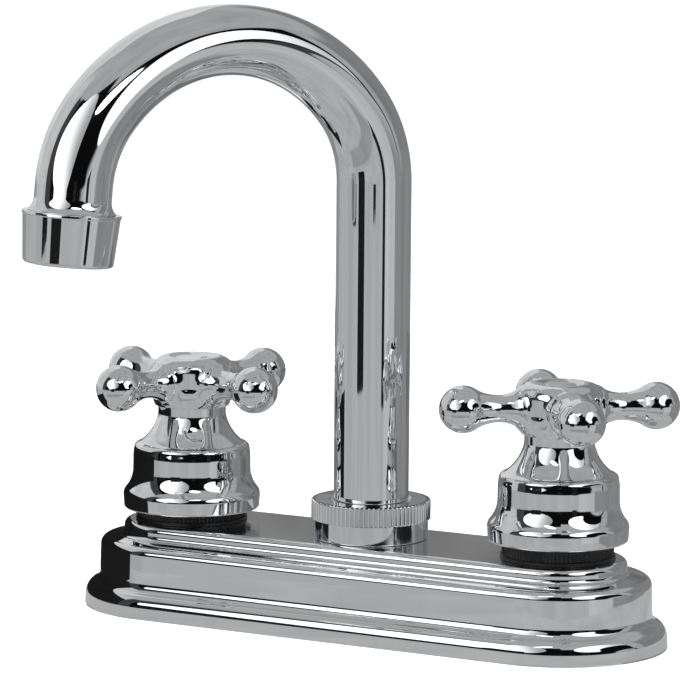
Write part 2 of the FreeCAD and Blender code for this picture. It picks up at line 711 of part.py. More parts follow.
def make_seat_washer(side, x, rise):
    body = new_body(side + "_seat_washer", x, 0, washer_bottom + rise)
    hole = sizes.washer_screw_radius + sizes.thread_gap
    turn(body, "disc", [
        (hole, ZERO),
        (sizes.seat_washer_radius, ZERO),
        (sizes.seat_washer_radius, sizes.seat_washer_thickness),
        (hole, sizes.seat_washer_thickness),
    ])


def make_washer_screw(side, x, rise):
    body = new_body(side + "_washer_screw", x, 0, washer_bottom + rise)
    turn(body, "screw", [
        (ZERO, -sizes.washer_screw_head),
        (sizes.washer_screw_head_radius, -sizes.washer_screw_head),
        (sizes.washer_screw_head_radius, ZERO),
        (sizes.washer_screw_radius, ZERO),
        (sizes.washer_screw_radius, sizes.washer_screw_length),
        (ZERO, sizes.washer_screw_length),
    ])


def make_washer_holder(side, x, rise):
    body = new_body(side + "_washer_holder", x, 0, washer_bottom + rise)
    rim_inside = sizes.seat_washer_radius + sizes.thread_gap
    hole = sizes.washer_screw_radius + sizes.thread_gap
    web_bottom = sizes.seat_washer_thickness
    web_top = web_bottom + sizes.holder_web
    hole_top = sizes.washer_screw_length + sizes.thread_gap
    stub_top = web_top + sizes.holder_stub_length
    turn(body, "holder", [
        (hole, web_bottom),
        (rim_inside, web_bottom),
        (rim_inside, web_bottom - sizes.holder_skirt),
        (sizes.holder_radius, web_bottom - sizes.holder_skirt),
        (sizes.holder_radius, web_top),
        (sizes.holder_stub_radius, web_top),
        (sizes.holder_stub_radius, stub_top),
        (ZERO, stub_top),
        (ZERO, hole_top),
        (hole, hole_top),
    ])


def make_stem(side, x, rise):
    body = new_body(side + "_stem", x, 0, stem_bottom + rise)
    foot_top = sizes.stem_foot_length
    thread_top = foot_top + sizes.stem_thread_length
    groove_bottom = sizes.table_height + sizes.stem_ring_rise - stem_bottom
    groove_radius = sizes.stem_radius - sizes.stem_ring_depth
    shoulder = stem_shoulder - stem_bottom
    top = shoulder + sizes.stem_end_length
    socket = sizes.holder_stub_radius + sizes.running_gap
    socket_top = sizes.holder_stub_length + sizes.lift_gap
    screw_hole = sizes.handle_screw_radius + sizes.thread_gap
    screw_bottom = screw_seat - sizes.handle_screw_length - sizes.lift_gap - stem_bottom
    turn(body, "stem", [
        (ZERO, socket_top),
        (socket, socket_top),
        (socket, ZERO),
        (sizes.stem_foot_radius, ZERO),
        (sizes.stem_foot_radius, foot_top),
        (sizes.stem_thread_radius, foot_top),
        (sizes.stem_thread_radius, thread_top),
        (sizes.stem_radius, thread_top),
        (sizes.stem_radius, groove_bottom),
        (groove_radius, groove_bottom),
        (groove_radius, groove_bottom + sizes.stem_ring_groove),
        (sizes.stem_radius, groove_bottom + sizes.stem_ring_groove),
        (sizes.stem_radius, shoulder),
        (sizes.stem_end_radius, shoulder),
        (sizes.stem_end_radius, top),
        (screw_hole, top),
        (screw_hole, screw_bottom),
        (ZERO, screw_bottom),
    ])


def make_ring(label, x, z, inside, outside, height, yaw=0):
    """A sealing ring with rounded edges, set in a groove."""
    body = new_body(label, x, 0, z, yaw)
    edge = (outside - inside) / 4
    turn(body, "ring", [
        (inside, edge),
        (inside + edge, ZERO),
        (outside - edge, ZERO),
        (outside, edge, edge),
        (outside, height - edge),
        (outside - edge, height, edge),
        (inside + edge, height),
        (inside, height - edge),
    ])


def make_bonnet(side, x):
    body = new_body(side + "_bonnet", x, 0, bonnet_bottom)
    thread = sizes.chamber_radius - sizes.thread_gap
    hex_bottom = bonnet_seat - bonnet_bottom
    hex_top = hex_bottom + sizes.bonnet_hex_height
    top = hex_top + sizes.bonnet_neck_height
    thread_bore = sizes.stem_thread_radius + sizes.thread_gap
    turn(body, "barrel", [
        (bonnet_bore, sizes.bonnet_thread_room),
        (thread_bore, sizes.bonnet_thread_room),
        (thread_bore, ZERO),
        (thread, ZERO),
        (thread, hex_top),
        (sizes.bonnet_neck_radius, hex_top),
        (sizes.bonnet_neck_radius, top),
        (bonnet_bore, top),
    ])
    hexagon = new_sketch(body, "hexagon", "XY_Plane", offset=(0, 0, hex_bottom))
    corner = sizes.bonnet_flats / 2 / math.cos(math.pi / HEXAGON_SIDES)
    corners = []
    for index in range(HEXAGON_SIDES):
        angle = math.radians(index * FULL_TURN / HEXAGON_SIDES)
        corners.append((corner * math.cos(angle), corner * math.sin(angle)))
    draw_outline(hexagon, corners)
    draw_circle(hexagon, (thread + bonnet_bore) / 2)
    extrude(body, "hexagon_run", hexagon, sizes.bonnet_hex_height)


def make_bonnet_washer(side, x):
    body = new_body(side + "_bonnet_washer", x, 0, neck_top)
    turn(body, "disc", [
        (sizes.chamber_radius, ZERO),
        (sizes.bonnet_washer_radius, ZERO),
        (sizes.bonnet_washer_radius, sizes.bonnet_washer_thickness),
        (sizes.chamber_radius, sizes.bonnet_washer_thickness),
    ])


GROOVE_SHARE = 0.8


def cut_ribs(body, radius, depth, bottom, height, count):
    """Cuts one upright V groove, GROOVE_SHARE of the ribs' pitch wide, and repeats it round the rim."""
    half_width = math.pi * radius / count * GROOVE_SHARE
    groove = new_sketch(body, "groove", "XY_Plane", offset=(0, 0, bottom))
    draw_outline(groove, [
        (radius - depth, ZERO),
        (radius + depth / 2, -half_width),
        (radius + depth / 2, half_width),
    ])
    one = extrude(body, "groove_cut", groove, height, "Pocket", reverse=True)
    repeat_round(body, one, count, "ribs")


def make_lock_ring(side, x):
    body = new_body(side + "_lock_ring", x, 0, sizes.table_height)
    inside = sizes.neck_radius + sizes.thread_gap
    outside = sizes.neck_radius + sizes.lock_ring_wall
    flange = outside + sizes.lock_ring_lip
    top = sizes.lock_ring_height
    turn(body, "ring", [
        (inside, ZERO),
        (flange, ZERO),
        (flange, sizes.lock_ring_flange_height),
        (outside, sizes.lock_ring_flange_height),
        (outside, top - sizes.lock_ring_chamfer),
        (outside - sizes.lock_ring_chamfer, top),
        (inside, top),
    ])
    ribbed = top - sizes.lock_ring_flange_height
    cut_ribs(body, outside, sizes.lock_rib_depth, sizes.lock_ring_flange_height,
             ribbed, sizes.lock_rib_count)


# Handle: a hollow bell under a hub with four arms, each ending in a round knob.

def bell_outline():
    """The handle's outside turned about its axis, and the way up inside it."""
    drum_inside = sizes.drum_radius - sizes.bell_wall
    roof = sizes.bell_roof
    socket = sizes.stem_end_radius + sizes.thread_gap
    socket_top = roof + sizes.stem_end_length
    hole = sizes.handle_screw_radius + sizes.thread_gap * 2
    recess = sizes.button_radius + sizes.button_gap
    recess_floor = sizes.handle_top - sizes.button_recess
    return [
        (sizes.skirt_bore, ZERO),
        (sizes.skirt_edge_radius - sizes.skirt_edge_round, ZERO),
        (sizes.skirt_edge_radius, sizes.skirt_edge_round, sizes.skirt_edge_round),
        (sizes.skirt_radius, sizes.skirt_band),
        (sizes.skirt_turn_radius, sizes.skirt_turn, sizes.skirt_round),
        (sizes.drum_radius, sizes.drum_bottom, -sizes.skirt_hollow),
        (sizes.ridge_radius, sizes.ridge_height),
        (sizes.ridge_radius - sizes.ridge_round, sizes.ridge_height + sizes.ridge_round, sizes.ridge_round),
        (sizes.waist_radius, sizes.waist_height, -sizes.waist_hollow),
        (sizes.waist_radius, sizes.hub_underside),
        (sizes.waist_radius + sizes.hub_under_step, sizes.hub_underside),
        (sizes.handle_hub_radius, sizes.handle_hub_side, sizes.handle_hub_swell),
        (sizes.handle_hub_radius, sizes.handle_top - sizes.handle_hub_round),
        (sizes.handle_hub_radius - sizes.handle_hub_round, sizes.handle_top, sizes.handle_hub_round),
        (sizes.dish_radius, sizes.handle_top),
        (recess, sizes.handle_top - sizes.dish_depth, -sizes.dish_hollow),
        (recess, recess_floor),
        (hole, recess_floor),
        (hole, socket_top),
        (socket, socket_top),
        (socket, roof),
        (sizes.bell_roof_radius, roof),
        (drum_inside, sizes.bell_shoulder),
        (drum_inside, sizes.drum_bottom),
        (sizes.skirt_bore, sizes.skirt_band),
    ]


def arm_outline():
    """Half of an arm seen from the side: along the arm, and out from the arm's own axis."""
    span = sizes.knob_reach - sizes.arm_neck
    slack = sizes.knob_radius - sizes.arm_neck_radius
    squares = span * span + sizes.arm_neck_radius * sizes.arm_neck_radius - sizes.knob_radius * sizes.knob_radius
    neck_hollow = squares / (slack * 2)
    reach = neck_hollow + sizes.knob_radius
    knob_start = sizes.knob_reach - sizes.knob_radius * span / reach
    knob_side = sizes.knob_radius * (sizes.arm_neck_radius + neck_hollow) / reach
    flare_span = sizes.arm_neck - sizes.arm_flare_start
    flare_top = sizes.arm_neck_radius + sizes.arm_flare - root(sizes.arm_flare * sizes.arm_flare
                                                              - flare_span * flare_span)
    return [
        (sizes.arm_root, ZERO),
        (sizes.knob_reach + sizes.knob_radius, ZERO),
        (sizes.knob_reach, sizes.knob_radius, sizes.knob_radius),
        (knob_start, knob_side, sizes.knob_radius),
        (sizes.arm_neck, sizes.arm_neck_radius, -neck_hollow),
        (sizes.arm_flare_start, flare_top, -sizes.arm_flare),
        (sizes.arm_root, flare_top - sizes.arm_root_taper),
    ]


def make_handle(side, x, rise, arm_angle):
    body = new_body(side + "_handle", x, 0, handle_bottom + rise, arm_angle)
    turn(body, "bell", bell_outline())
    sketch = new_sketch(body, "arm_outline", "XZ_Plane", offset=(0, sizes.arm_height, 0))
    draw_outline(sketch, arm_outline())
    arm = add_feature(body, "Revolution", "arm", sketch)
    arm.ReferenceAxis = (sketch, ["H_Axis"])
    arm.Angle = FULL_TURN
    settle(body, arm, "Revolution")
    repeat_round(body, arm, sizes.arm_count, "arms")


def make_handle_screw(side, x, rise):
    body = new_body(side + "_handle_screw", x, 0, screw_seat + rise)
    turn(body, "screw", [
        (ZERO, -sizes.handle_screw_length),
        (sizes.handle_screw_radius, -sizes.handle_screw_length),
        (sizes.handle_screw_radius, ZERO),
        (sizes.handle_screw_head_radius, ZERO),
        (sizes.handle_screw_head_radius, sizes.handle_screw_head),
        (ZERO, sizes.handle_screw_head),
    ])


def make_index_button(side, x, rise):
    body = new_body(side + "_index_button", x, 0, screw_seat + sizes.handle_screw_head + rise)
    crown = sizes.button_crown
    face = (sizes.button_radius * sizes.button_radius + crown * crown) / (crown * 2)
    turn(body, "button", [
        (ZERO, ZERO),
        (sizes.button_radius, ZERO),
        (sizes.button_radius, sizes.button_thickness),
        (ZERO, sizes.button_thickness + crown, face),
    ])


# Spout: a bent tube brazed on a fitting that turns in the hub, and the aerator at its end.

side_radius = sizes.arch_rise - sizes.arch_side_drop
arch_half = sizes.arch_width / 2
side_reach = arch_half - side_radius
rise_squares = sizes.arch_rise * sizes.arch_rise - side_radius * side_radius
crown_radius = (side_reach * side_reach + rise_squares) / (sizes.arch_side_drop * 2)
outlet_x = sizes.arch_width - side_radius + side_radius * cosine(sizes.outlet_tilt)
outlet_z = arch_start + side_radius * sine(sizes.outlet_tilt)


def along_outlet(distance):
    """The place at a distance past the arch's end, outward and up in the spout's own plane."""
    x = outlet_x + sine(sizes.outlet_tilt) * distance
    z = outlet_z - cosine(sizes.outlet_tilt) * distance
    return x, z


def draw_arch(body, name, length):
    """The tube's axis: up the post, over three tangent arcs, and a length down the outlet."""
    join = side_radius / (crown_radius - side_radius)
    join_x = side_radius - side_reach * join
    join_z = arch_start + (crown_radius - sizes.arch_rise) * join
    end_x, end_z = along_outlet(length)
    sketch = new_sketch(body, name)
    draw_outline(sketch, [
        (ZERO, tube_foot),
        (ZERO, arch_start),
        (join_x, join_z, -side_radius),
        (sizes.arch_width - join_x, join_z, -crown_radius),
        (outlet_x, outlet_z, -side_radius),
        (end_x, end_z),
    ], closed=False)
    return sketch


def sweep(body, name, radius, spine, kind):
    ring = draw_circle(new_sketch(body, name + "_section", "XY_Plane", offset=(0, 0, tube_foot)), radius)
    pipe = add_feature(body, kind, name, ring)
    pipe.Spine = (spine, [])
    pipe.Mode = "Standard"
    return settle(body, pipe, kind)


def make_spout_tube():
    body = new_body("spout_tube", yaw=spout_yaw)
    flare_end = sizes.outlet_straight + sizes.flare_length
    tip = flare_end + sizes.outlet_thread_length
    rise = sizes.flare_rise
    flare_curve = (sizes.flare_length * sizes.flare_length + rise * rise) / (rise * 2)
    sweep(body, "tube", sizes.tube_radius, draw_arch(body, "axis", sizes.outlet_straight), "AdditivePipe")
    turn(body, "flare", [
        (ZERO, sizes.outlet_straight),
        (sizes.tube_radius, sizes.outlet_straight),
        (flare, flare_end, -flare_curve),
        (outlet_thread, flare_end),
        (outlet_thread, tip),
        (ZERO, tip),
    ], offset=(outlet_x, outlet_z, 0), tilt=HALF_TURN + sizes.outlet_tilt)
    sweep(body, "bore", tube_bore, draw_arch(body, "way", tip), "SubtractivePipe")


fitting_bottom = sizes.table_height - sizes.fitting_depth


def make_spout_fitting():
    body = new_body("spout_fitting", z=fitting_bottom, yaw=spout_yaw)
    collar_top = tube_foot - fitting_bottom
    collar_bottom = collar_top - sizes.collar_height
    spigot = tube_bore - sizes.brazing_gap
    inside = tube_bore - sizes.fitting_wall
    groove = sizes.tube_radius - sizes.o_ring_depth
    first = sizes.o_ring_first
    second = first + sizes.o_ring_step
    turn(body, "fitting", [
        (inside, ZERO),
        (sizes.tube_radius, ZERO),
        (sizes.tube_radius, first),
        (groove, first),
        (groove, first + sizes.o_ring_groove),
        (sizes.tube_radius, first + sizes.o_ring_groove),
        (sizes.tube_radius, second),
        (groove, second),
        (groove, second + sizes.o_ring_groove),
        (sizes.tube_radius, second + sizes.o_ring_groove),
        (sizes.tube_radius, collar_bottom),
        (collar, collar_bottom),
        (collar, collar_top),
        (spigot, collar_top),
        (spigot, collar_top + sizes.fitting_spigot),
        (inside, collar_top + sizes.fitting_spigot),
    ])


def make_spout_o_ring(name, above):
    """One of the two rings that seal the turning spout in the hub."""
    inside = sizes.tube_radius - sizes.o_ring_depth + sizes.o_ring_gap
    outside = hub_bore - sizes.o_ring_gap
    height = sizes.o_ring_groove - sizes.lift_gap
    make_ring(name, 0, fitting_bottom + above, inside, outside, height, spout_yaw)


def make_bushing():
    bottom = tube_foot + sizes.lift_gap
    top = nut_bottom + sizes.nut_height - sizes.nut_top_thickness - sizes.lift_gap
    body = new_body("spout_bushing", z=bottom)
    inside = sizes.tube_radius + sizes.running_gap
    turn(body, "sleeve", [
        (inside, ZERO),
        (bushing, ZERO),
        (bushing, top - bottom),
        (inside, top - bottom),
    ])


def make_spout_nut():
    body = new_body("spout_nut", z=nut_bottom)
    thread = hub_thread + sizes.thread_gap
    thread_top = hub_top + sizes.lift_gap - nut_bottom
    roof = sizes.nut_height - sizes.nut_top_thickness
    skirt = hub_thread + sizes.nut_wall
    rim = skirt + sizes.nut_rim_step
    hole = sizes.tube_radius + sizes.nut_hole_gap
    turn(body, "nut", [
        (thread, ZERO),
        (skirt - sizes.nut_edge, ZERO),
        (skirt, sizes.nut_edge),
        (skirt, sizes.nut_skirt_height),
        (rim, sizes.nut_skirt_height),
        (rim, sizes.nut_height - sizes.nut_edge),
        (rim - sizes.nut_edge, sizes.nut_height),
        (hole, sizes.nut_height),
        (hole, roof),
        (bushing + sizes.thread_gap, roof),
        (bushing + sizes.thread_gap, thread_top),
        (thread, thread_top),
    ])
    ribbed = sizes.nut_height - sizes.nut_skirt_height
    cut_ribs(body, rim, sizes.nut_rib_depth, sizes.nut_skirt_height, ribbed, sizes.nut_rib_count)


def outlet_body(label, distance):
    """A body whose +Z runs down the outlet, starting a distance past the arch's end."""
    x, z = along_outlet(distance)
    return new_body(label, x * cosine(spout_yaw), x * sine(spout_yaw), z, spout_yaw,
                    HALF_TURN - sizes.outlet_tilt)


housing_start = sizes.outlet_straight + sizes.flare_length + sizes.lift_gap
washer_start = sizes.outlet_straight + sizes.flare_length + sizes.outlet_thread_length + sizes.lift_gap
insert_start = washer_start + sizes.aerator_washer_thickness
housing_bore = outlet_thread + sizes.thread_gap
housing_way = housing_bore - sizes.housing_ledge_width


def make_aerator_housing():
    body = outlet_body("aerator_housing", housing_start)
    ledge = insert_start + sizes.insert_flange - housing_start
    lip = flare + sizes.housing_overhang
    end = lip - sizes.housing_taper
    turn(body, "housing", [
        (housing_bore, ZERO),
        (lip, ZERO),
        (lip, sizes.housing_lip),
        (lip - sizes.housing_step, sizes.housing_lip + sizes.housing_step),
        (end, sizes.housing_length - sizes.housing_round),
        (end - sizes.housing_round, sizes.housing_length, sizes.housing_round),
        (housing_way, sizes.housing_length),
        (housing_way, ledge),
        (housing_bore, ledge),
    ])


def make_aerator_washer():
    body = outlet_body("aerator_washer", washer_start)
    outside = housing_bore - sizes.thread_gap
    turn(body, "disc", [
        (tube_bore, ZERO),
        (outside, ZERO),
        (outside, sizes.aerator_washer_thickness),
        (tube_bore, sizes.aerator_washer_thickness),
    ])


def make_aerator_insert():
    body = outlet_body("aerator_insert", insert_start)
    flange = housing_bore - sizes.thread_gap
    barrel = housing_way - sizes.thread_gap
    inside = barrel - sizes.insert_wall
    turn(body, "basket", [
        (inside, ZERO),
        (flange, ZERO),
        (flange, sizes.insert_flange),
        (barrel, sizes.insert_flange),
        (barrel, sizes.insert_length),
        (ZERO, sizes.insert_length),
        (ZERO, sizes.insert_length - sizes.insert_plate),
        (inside, sizes.insert_length - sizes.insert_plate),
    ])
    hole = new_sketch(body, "hole", "XY_Plane", offset=(0, 0, sizes.insert_length))
    draw_circle(hole, sizes.insert_hole_radius, inside / 2 + sizes.insert_hole_radius / 2)
    one = extrude(body, "hole_cut", hole, sizes.insert_plate * 2, "Pocket")
    repeat_round(body, one, sizes.insert_hole_count, "holes")


def make_valve(side, x, rise, arm_angle):
    """Everything on one valve axis, with its moving pieces raised by rise."""
    make_shank(side, x)
    make_shank_washer(side, x)
    make_mounting_nut(side, x)
    make_valve_seat(side, x)
    make_bonnet(side, x)
    make_bonnet_washer(side, x)
    make_lock_ring(side, x)
    make_seat_washer(side, x, rise)
    make_washer_screw(side, x, rise)
    make_washer_holder(side, x, rise)
    make_stem(side, x, rise)
    ring_inside = sizes.stem_radius - sizes.stem_ring_depth + sizes.o_ring_gap
    ring_outside = bonnet_bore - sizes.o_ring_gap
    ring_height = sizes.stem_ring_groove - sizes.lift_gap
    ring_bottom = sizes.table_height + sizes.stem_ring_rise + rise
    make_ring(side + "_stem_o_ring", x, ring_bottom, ring_inside, ring_outside, ring_height)
    make_handle(side, x, rise, arm_angle)
    make_handle_screw(side, x, rise)
    make_index_button(side, x, rise)


def write_parts():
    """Checks that everything built, then writes one file for each body."""
    for item in doc.Objects:
        if "Invalid" in item.State or "Error" in item.State:
            raise RuntimeError(item.Label + " failed: " + ", ".join(item.State))
    os.makedirs("parts", exist_ok=True)
    for body in doc.findObjects("PartDesign::Body"):
        shape = body.Shape
        if shape.isNull() or not shape.isValid() or len(shape.Solids) != 1:
            raise RuntimeError(body.Label + " is not one sound solid")
        shape.exportStep("parts/" + body.Label + ".step")
        print("%-22s %10.1f mm3" % (body.Label, shape.Volume))


make_cover()
make_gasket()
make_waterway()
make_valve("hot", -half_spacing, ZERO, sizes.hot_arm_angle)
make_valve("cold", half_spacing, cold_rise, sizes.cold_arm_angle)
make_spout_tube()
make_spout_fitting()
make_spout_o_ring("spout_o_ring_lower", sizes.o_ring_first)
make_spout_o_ring("spout_o_ring_upper", sizes.o_ring_first + sizes.o_ring_step)
make_bushing()
make_spout_nut()
make_aerator_housing()
make_aerator_washer()
make_aerator_insert()
doc.recompute()
write_parts()
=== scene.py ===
import json
import math

import bmesh
import bpy
import numpy as np
from mathutils import Matrix, Vector


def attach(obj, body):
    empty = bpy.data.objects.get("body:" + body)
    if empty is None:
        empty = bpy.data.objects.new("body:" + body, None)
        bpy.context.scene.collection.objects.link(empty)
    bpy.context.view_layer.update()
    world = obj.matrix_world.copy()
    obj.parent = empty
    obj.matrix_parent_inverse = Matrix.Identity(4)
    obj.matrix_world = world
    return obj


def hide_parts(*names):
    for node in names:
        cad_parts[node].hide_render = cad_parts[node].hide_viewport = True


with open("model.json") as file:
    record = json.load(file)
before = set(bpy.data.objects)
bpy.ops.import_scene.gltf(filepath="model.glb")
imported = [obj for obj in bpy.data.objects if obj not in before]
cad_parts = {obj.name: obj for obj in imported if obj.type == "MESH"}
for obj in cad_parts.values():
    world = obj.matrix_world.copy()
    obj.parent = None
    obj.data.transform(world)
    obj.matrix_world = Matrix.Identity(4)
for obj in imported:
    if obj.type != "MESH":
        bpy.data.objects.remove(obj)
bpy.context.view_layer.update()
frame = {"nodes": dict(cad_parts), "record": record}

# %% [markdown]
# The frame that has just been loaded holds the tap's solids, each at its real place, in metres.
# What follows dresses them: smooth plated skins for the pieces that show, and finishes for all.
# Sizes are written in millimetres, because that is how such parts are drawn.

MM = 0.001

# %% [markdown]
# The camera stands to the right of the tap, a little above it and far away, with a long lens.
# A long lens keeps the handles at nearly the same size, as a catalogue picture does.
# Its place was found by fitting some forty edges of the tap, and it could also be set by eye.

# %% Camera
LOOK_YAW = 0.492
LOOK_DOWN = 0.146
LOOK_ROLL = 0.008
EYE = (0.50028, -0.94496, 0.22480)
LONG_LENS = 228.04
SENSOR_WIDTH = 36
NEAREST_SEEN = 0.05

lens = bpy.data.cameras.new("long_lens")
lens.sensor_width = SENSOR_WIDTH
lens.lens = LONG_LENS
lens.clip_start = NEAREST_SEEN
camera = bpy.data.objects.new("photograph_view", lens)
bpy.context.scene.collection.objects.link(camera)
aim = Matrix.Rotation(LOOK_YAW, 3, "Z") @ Matrix.Rotation(math.pi / 2 - LOOK_DOWN, 3, "X")
camera.rotation_euler = (aim @ Matrix.Rotation(LOOK_ROLL, 3, "Z")).to_euler()
camera.location = EYE
bpy.context.scene.camera = camera
bpy.context.view_layer.update()
looks_along = camera.matrix_world.to_3x3() @ Vector((0, 0, -1))
print("looks along", [round(part, 4) for part in looks_along])

# %% [markdown]
# Every new skin is a grid of points worked out at once with numpy, and the same few helpers turn
# such grids into meshes. Each row of a grid is a ring, and the last row may be joined to the first.
# The alternative is to model with Blender's own primitives and modifiers, but plated metal shows
# every flaw of its surface, and a formula gives points that lie exactly on it.

# %% Grids
def grid_faces(rows, columns, ring_rows):
    """The quads of a grid: each joins a point, its neighbour along the row and the two below."""
    last = rows if ring_rows else rows - 1
    i, j = np.meshgrid(np.arange(last), np.arange(columns), indexing="ij")
    below, beside = (i + 1) % rows, (j + 1) % columns
    quads = [i * columns + j, i * columns + beside, below * columns + beside, below * columns + j]
    return np.stack(quads, -1).reshape(-1, 4)


def skin(grid, ring_rows=False):
    """A grid of points, rows x columns x 3, as (points, faces)."""
    rows, columns = grid.shape[:2]
    return grid.reshape(-1, 3), grid_faces(rows, columns, ring_rows)


def joined(parts):
    """Several (points, faces) pairs as one, with the faces counted on."""
    starts = np.cumsum([0] + [len(points) for points, _ in parts[:-1]])
    points = np.concatenate([points for points, _ in parts])
    return points, np.concatenate([faces + start for (_, faces), start in zip(parts, starts)])


print("three rings of eight points have", len(grid_faces(3, 8, False)), "faces")

# %% [markdown]
# A grid's seams and poles hold double points, so each mesh is welded before it is used.
# Its faces are turned outwards, and edges that don't join two faces the same way round are counted:
# a closed mesh has none.

# %% Meshes and pieces
WELD_REACH = 2e-7
SHORTEST_EDGE = 1e-8


def make_mesh(name, points, faces, crease=35):
    """A closed mesh in metres. Edges that turn by more than crease degrees stay sharp."""
    mesh = bpy.data.meshes.new(name)
    mesh.from_pydata((points * MM).tolist(), [], faces.tolist())
    shape = bmesh.new()
    shape.from_mesh(mesh)
    bmesh.ops.remove_doubles(shape, verts=shape.verts, dist=WELD_REACH)
    bmesh.ops.dissolve_degenerate(shape, edges=shape.edges, dist=SHORTEST_EDGE)
    bmesh.ops.recalc_face_normals(shape, faces=shape.faces)
    if shape.calc_volume(signed=True) < 0:
        bmesh.ops.reverse_faces(shape, faces=shape.faces)
    open_edges = sum(not edge.is_contiguous for edge in shape.edges)
    volume = shape.calc_volume() / MM ** 3
    shape.to_mesh(mesh)
    shape.free()
    mesh.polygons.foreach_set("use_smooth", np.ones(len(mesh.polygons), bool))
    mesh.set_sharp_from_angle(angle=math.radians(crease))
    count = len(mesh.polygons)
    print("%-22s %6d faces, %9.1f mm3, %d open edges" % (name, count, volume, open_edges))
    return mesh


def place(name, mesh, body, node, material):
    """Shows a mesh as a piece that rides on a body and stands for a solid of the frame."""
    mesh.materials.append(material)
    piece = bpy.data.objects.new(name, mesh)
    bpy.context.scene.collection.objects.link(piece)
    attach(piece, body)
    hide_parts(node)

# %% [markdown]
# Turned and cast parts are drawn as an outline of straight runs and arcs, and this helper follows
# one. A third number makes the run to that point an arc of that radius: above nought it bends to
# the left. Straight runs get a second point close to each end. Without them the shading of a flat
# face would lean towards the round beside it, and its reflections would bend.

# %% Outlines and turned surfaces
def arc_points(start, end, radius, step):
    """Points on the smaller arc from start to end: its centre turned through equal angles."""
    chord = end - start
    half = np.linalg.norm(chord) / 2
    across = np.array([-chord[1], chord[0]]) / (2 * half)
    side = -1 if radius > 0 else 1
    centre = (start + end) / 2 - across * side * math.sqrt(max(radius * radius - half * half, 0))
    swing = -side * 2 * math.asin(min(half / abs(radius), 1))
    count = max(3, math.ceil(abs(math.degrees(swing)) / step))
    angle = math.atan2(*(start - centre)[::-1]) + swing * np.arange(count) / count
    return centre + abs(radius) * np.stack([np.cos(angle), np.sin(angle)], -1)


def trace(outline, closed=True, step=5.0, edge=0.08):
    """Follows an outline given as (out, up) or (out, up, radius) and returns its points.

    Arcs are cut every step degrees, and a straight run has points at edge from its ends."""
    corners = [np.array(point[:2], float) for point in outline]
    pieces = []
    for index in range(len(outline) if closed else len(outline) - 1):
        after = (index + 1) % len(outline)
        start, end = corners[index], corners[after]
        if len(outline[after]) > 2:
            pieces.append(arc_points(start, end, outline[after][2], step))
            continue
        share = min(edge / np.linalg.norm(end - start), 0.3)
        pieces.append(start + (end - start) * np.array([[0.0], [share], [1 - share]]))
    return np.concatenate(pieces + ([] if closed else [corners[-1][None]]))


def turned(outline, columns, centre=(0.0, 0.0), base=0.0):
    """Turns an outline about an upright axis: out is the distance from it and up the height."""
    angle = np.linspace(0, 2 * math.pi, columns, endpoint=False)
    out, up = outline[:, :1], outline[:, 1:] + base
    x, y = centre[0] + out * np.cos(angle), centre[1] + out * np.sin(angle)
    return np.stack([x, y, np.broadcast_to(up, x.shape)], -1)


print("a square has", len(trace([(1, 0), (2, 0), (2, 1), (1, 1)])), "points on its outline")

# %% [markdown]
# Finishes are built from nodes, and one small helper keeps their wiring readable.
# Each of its methods adds one node and gives back the socket that carries its result.

# %% Wiring nodes
class Wires:
    """Adds nodes to a tree. Numbers and sockets are both taken as inputs."""

    def __init__(self, tree):
        self.tree = tree
        self.tree.nodes.clear()

    def add(self, kind, inputs=(), **settings):
        node = self.tree.nodes.new(kind)
        for name, value in settings.items():
            setattr(node, name, value)
        for key, value in dict(inputs).items():
            if isinstance(value, bpy.types.NodeSocket):
                self.tree.links.new(value, node.inputs[key])
            else:
                node.inputs[key].default_value = value
        return node

    def math(self, operation, first, second=0.0, third=0.0):
        inputs = {0: first, 1: second, 2: third}
        return self.add("ShaderNodeMath", inputs, operation=operation).outputs[0]

    def ramp(self, value, low, high, to_low=0.0, to_high=1.0):
        """A smooth step from to_low, where value is low, up to to_high, where it is high."""
        inputs = {"Value": value, "From Min": low, "From Max": high,
                  "To Min": to_low, "To Max": to_high}
        node = self.add("ShaderNodeMapRange", inputs, interpolation_type="SMOOTHSTEP")
        return node.outputs["Result"]

    def blend(self, share, first, second):
        """Colour first where share is 0 and second where it is 1."""
        inputs = {0: share, 6: first, 7: second}
        return self.add("ShaderNodeMix", inputs, data_type="RGBA").outputs[2]

    def noise(self, at, scale, detail=2.0, roughness=0.5):
        inputs = {"Vector": at, "Scale": scale, "Detail": detail, "Roughness": roughness}
        return self.add("ShaderNodeTexNoise", inputs).outputs["Fac"]

    def stretch(self, at, scale):
        return self.add("ShaderNodeMapping", {"Vector": at, "Scale": scale}).outputs["Vector"]

    def dot(self, at, direction):
        """How far a place lies along a direction."""
        inputs = {0: at, 1: tuple(direction)}
        node = self.add("ShaderNodeVectorMath", inputs, operation="DOT_PRODUCT")
        return node.outputs["Value"]

    def bump(self, height, distance, normal=None):
        inputs = {"Height": height, "Distance": distance, "Strength": 1.0}
        if normal is not None:
            inputs["Normal"] = normal
        return self.add("ShaderNodeBump", inputs).outputs["Normal"]

    def surface(self, **inputs):
        """Ends the tree with one shader that takes the given sockets and numbers."""
        named = {name.replace("_", " "): value for name, value in inputs.items()}
        shader = self.add("ShaderNodeBsdfPrincipled", named)
        self.add("ShaderNodeOutputMaterial", {"Surface": shader.outputs[0]})


def grey(value):
    return (value, value, value, 1.0)


def new_finish(name):
    """A material with its wires and the socket that gives each place on the piece."""
    material = bpy.data.materials.new(name)
    material.use_nodes = True
    wires = Wires(material.node_tree)
    spot = wires.add("ShaderNodeTexCoord").outputs["Object"]
    return material, wires, spot


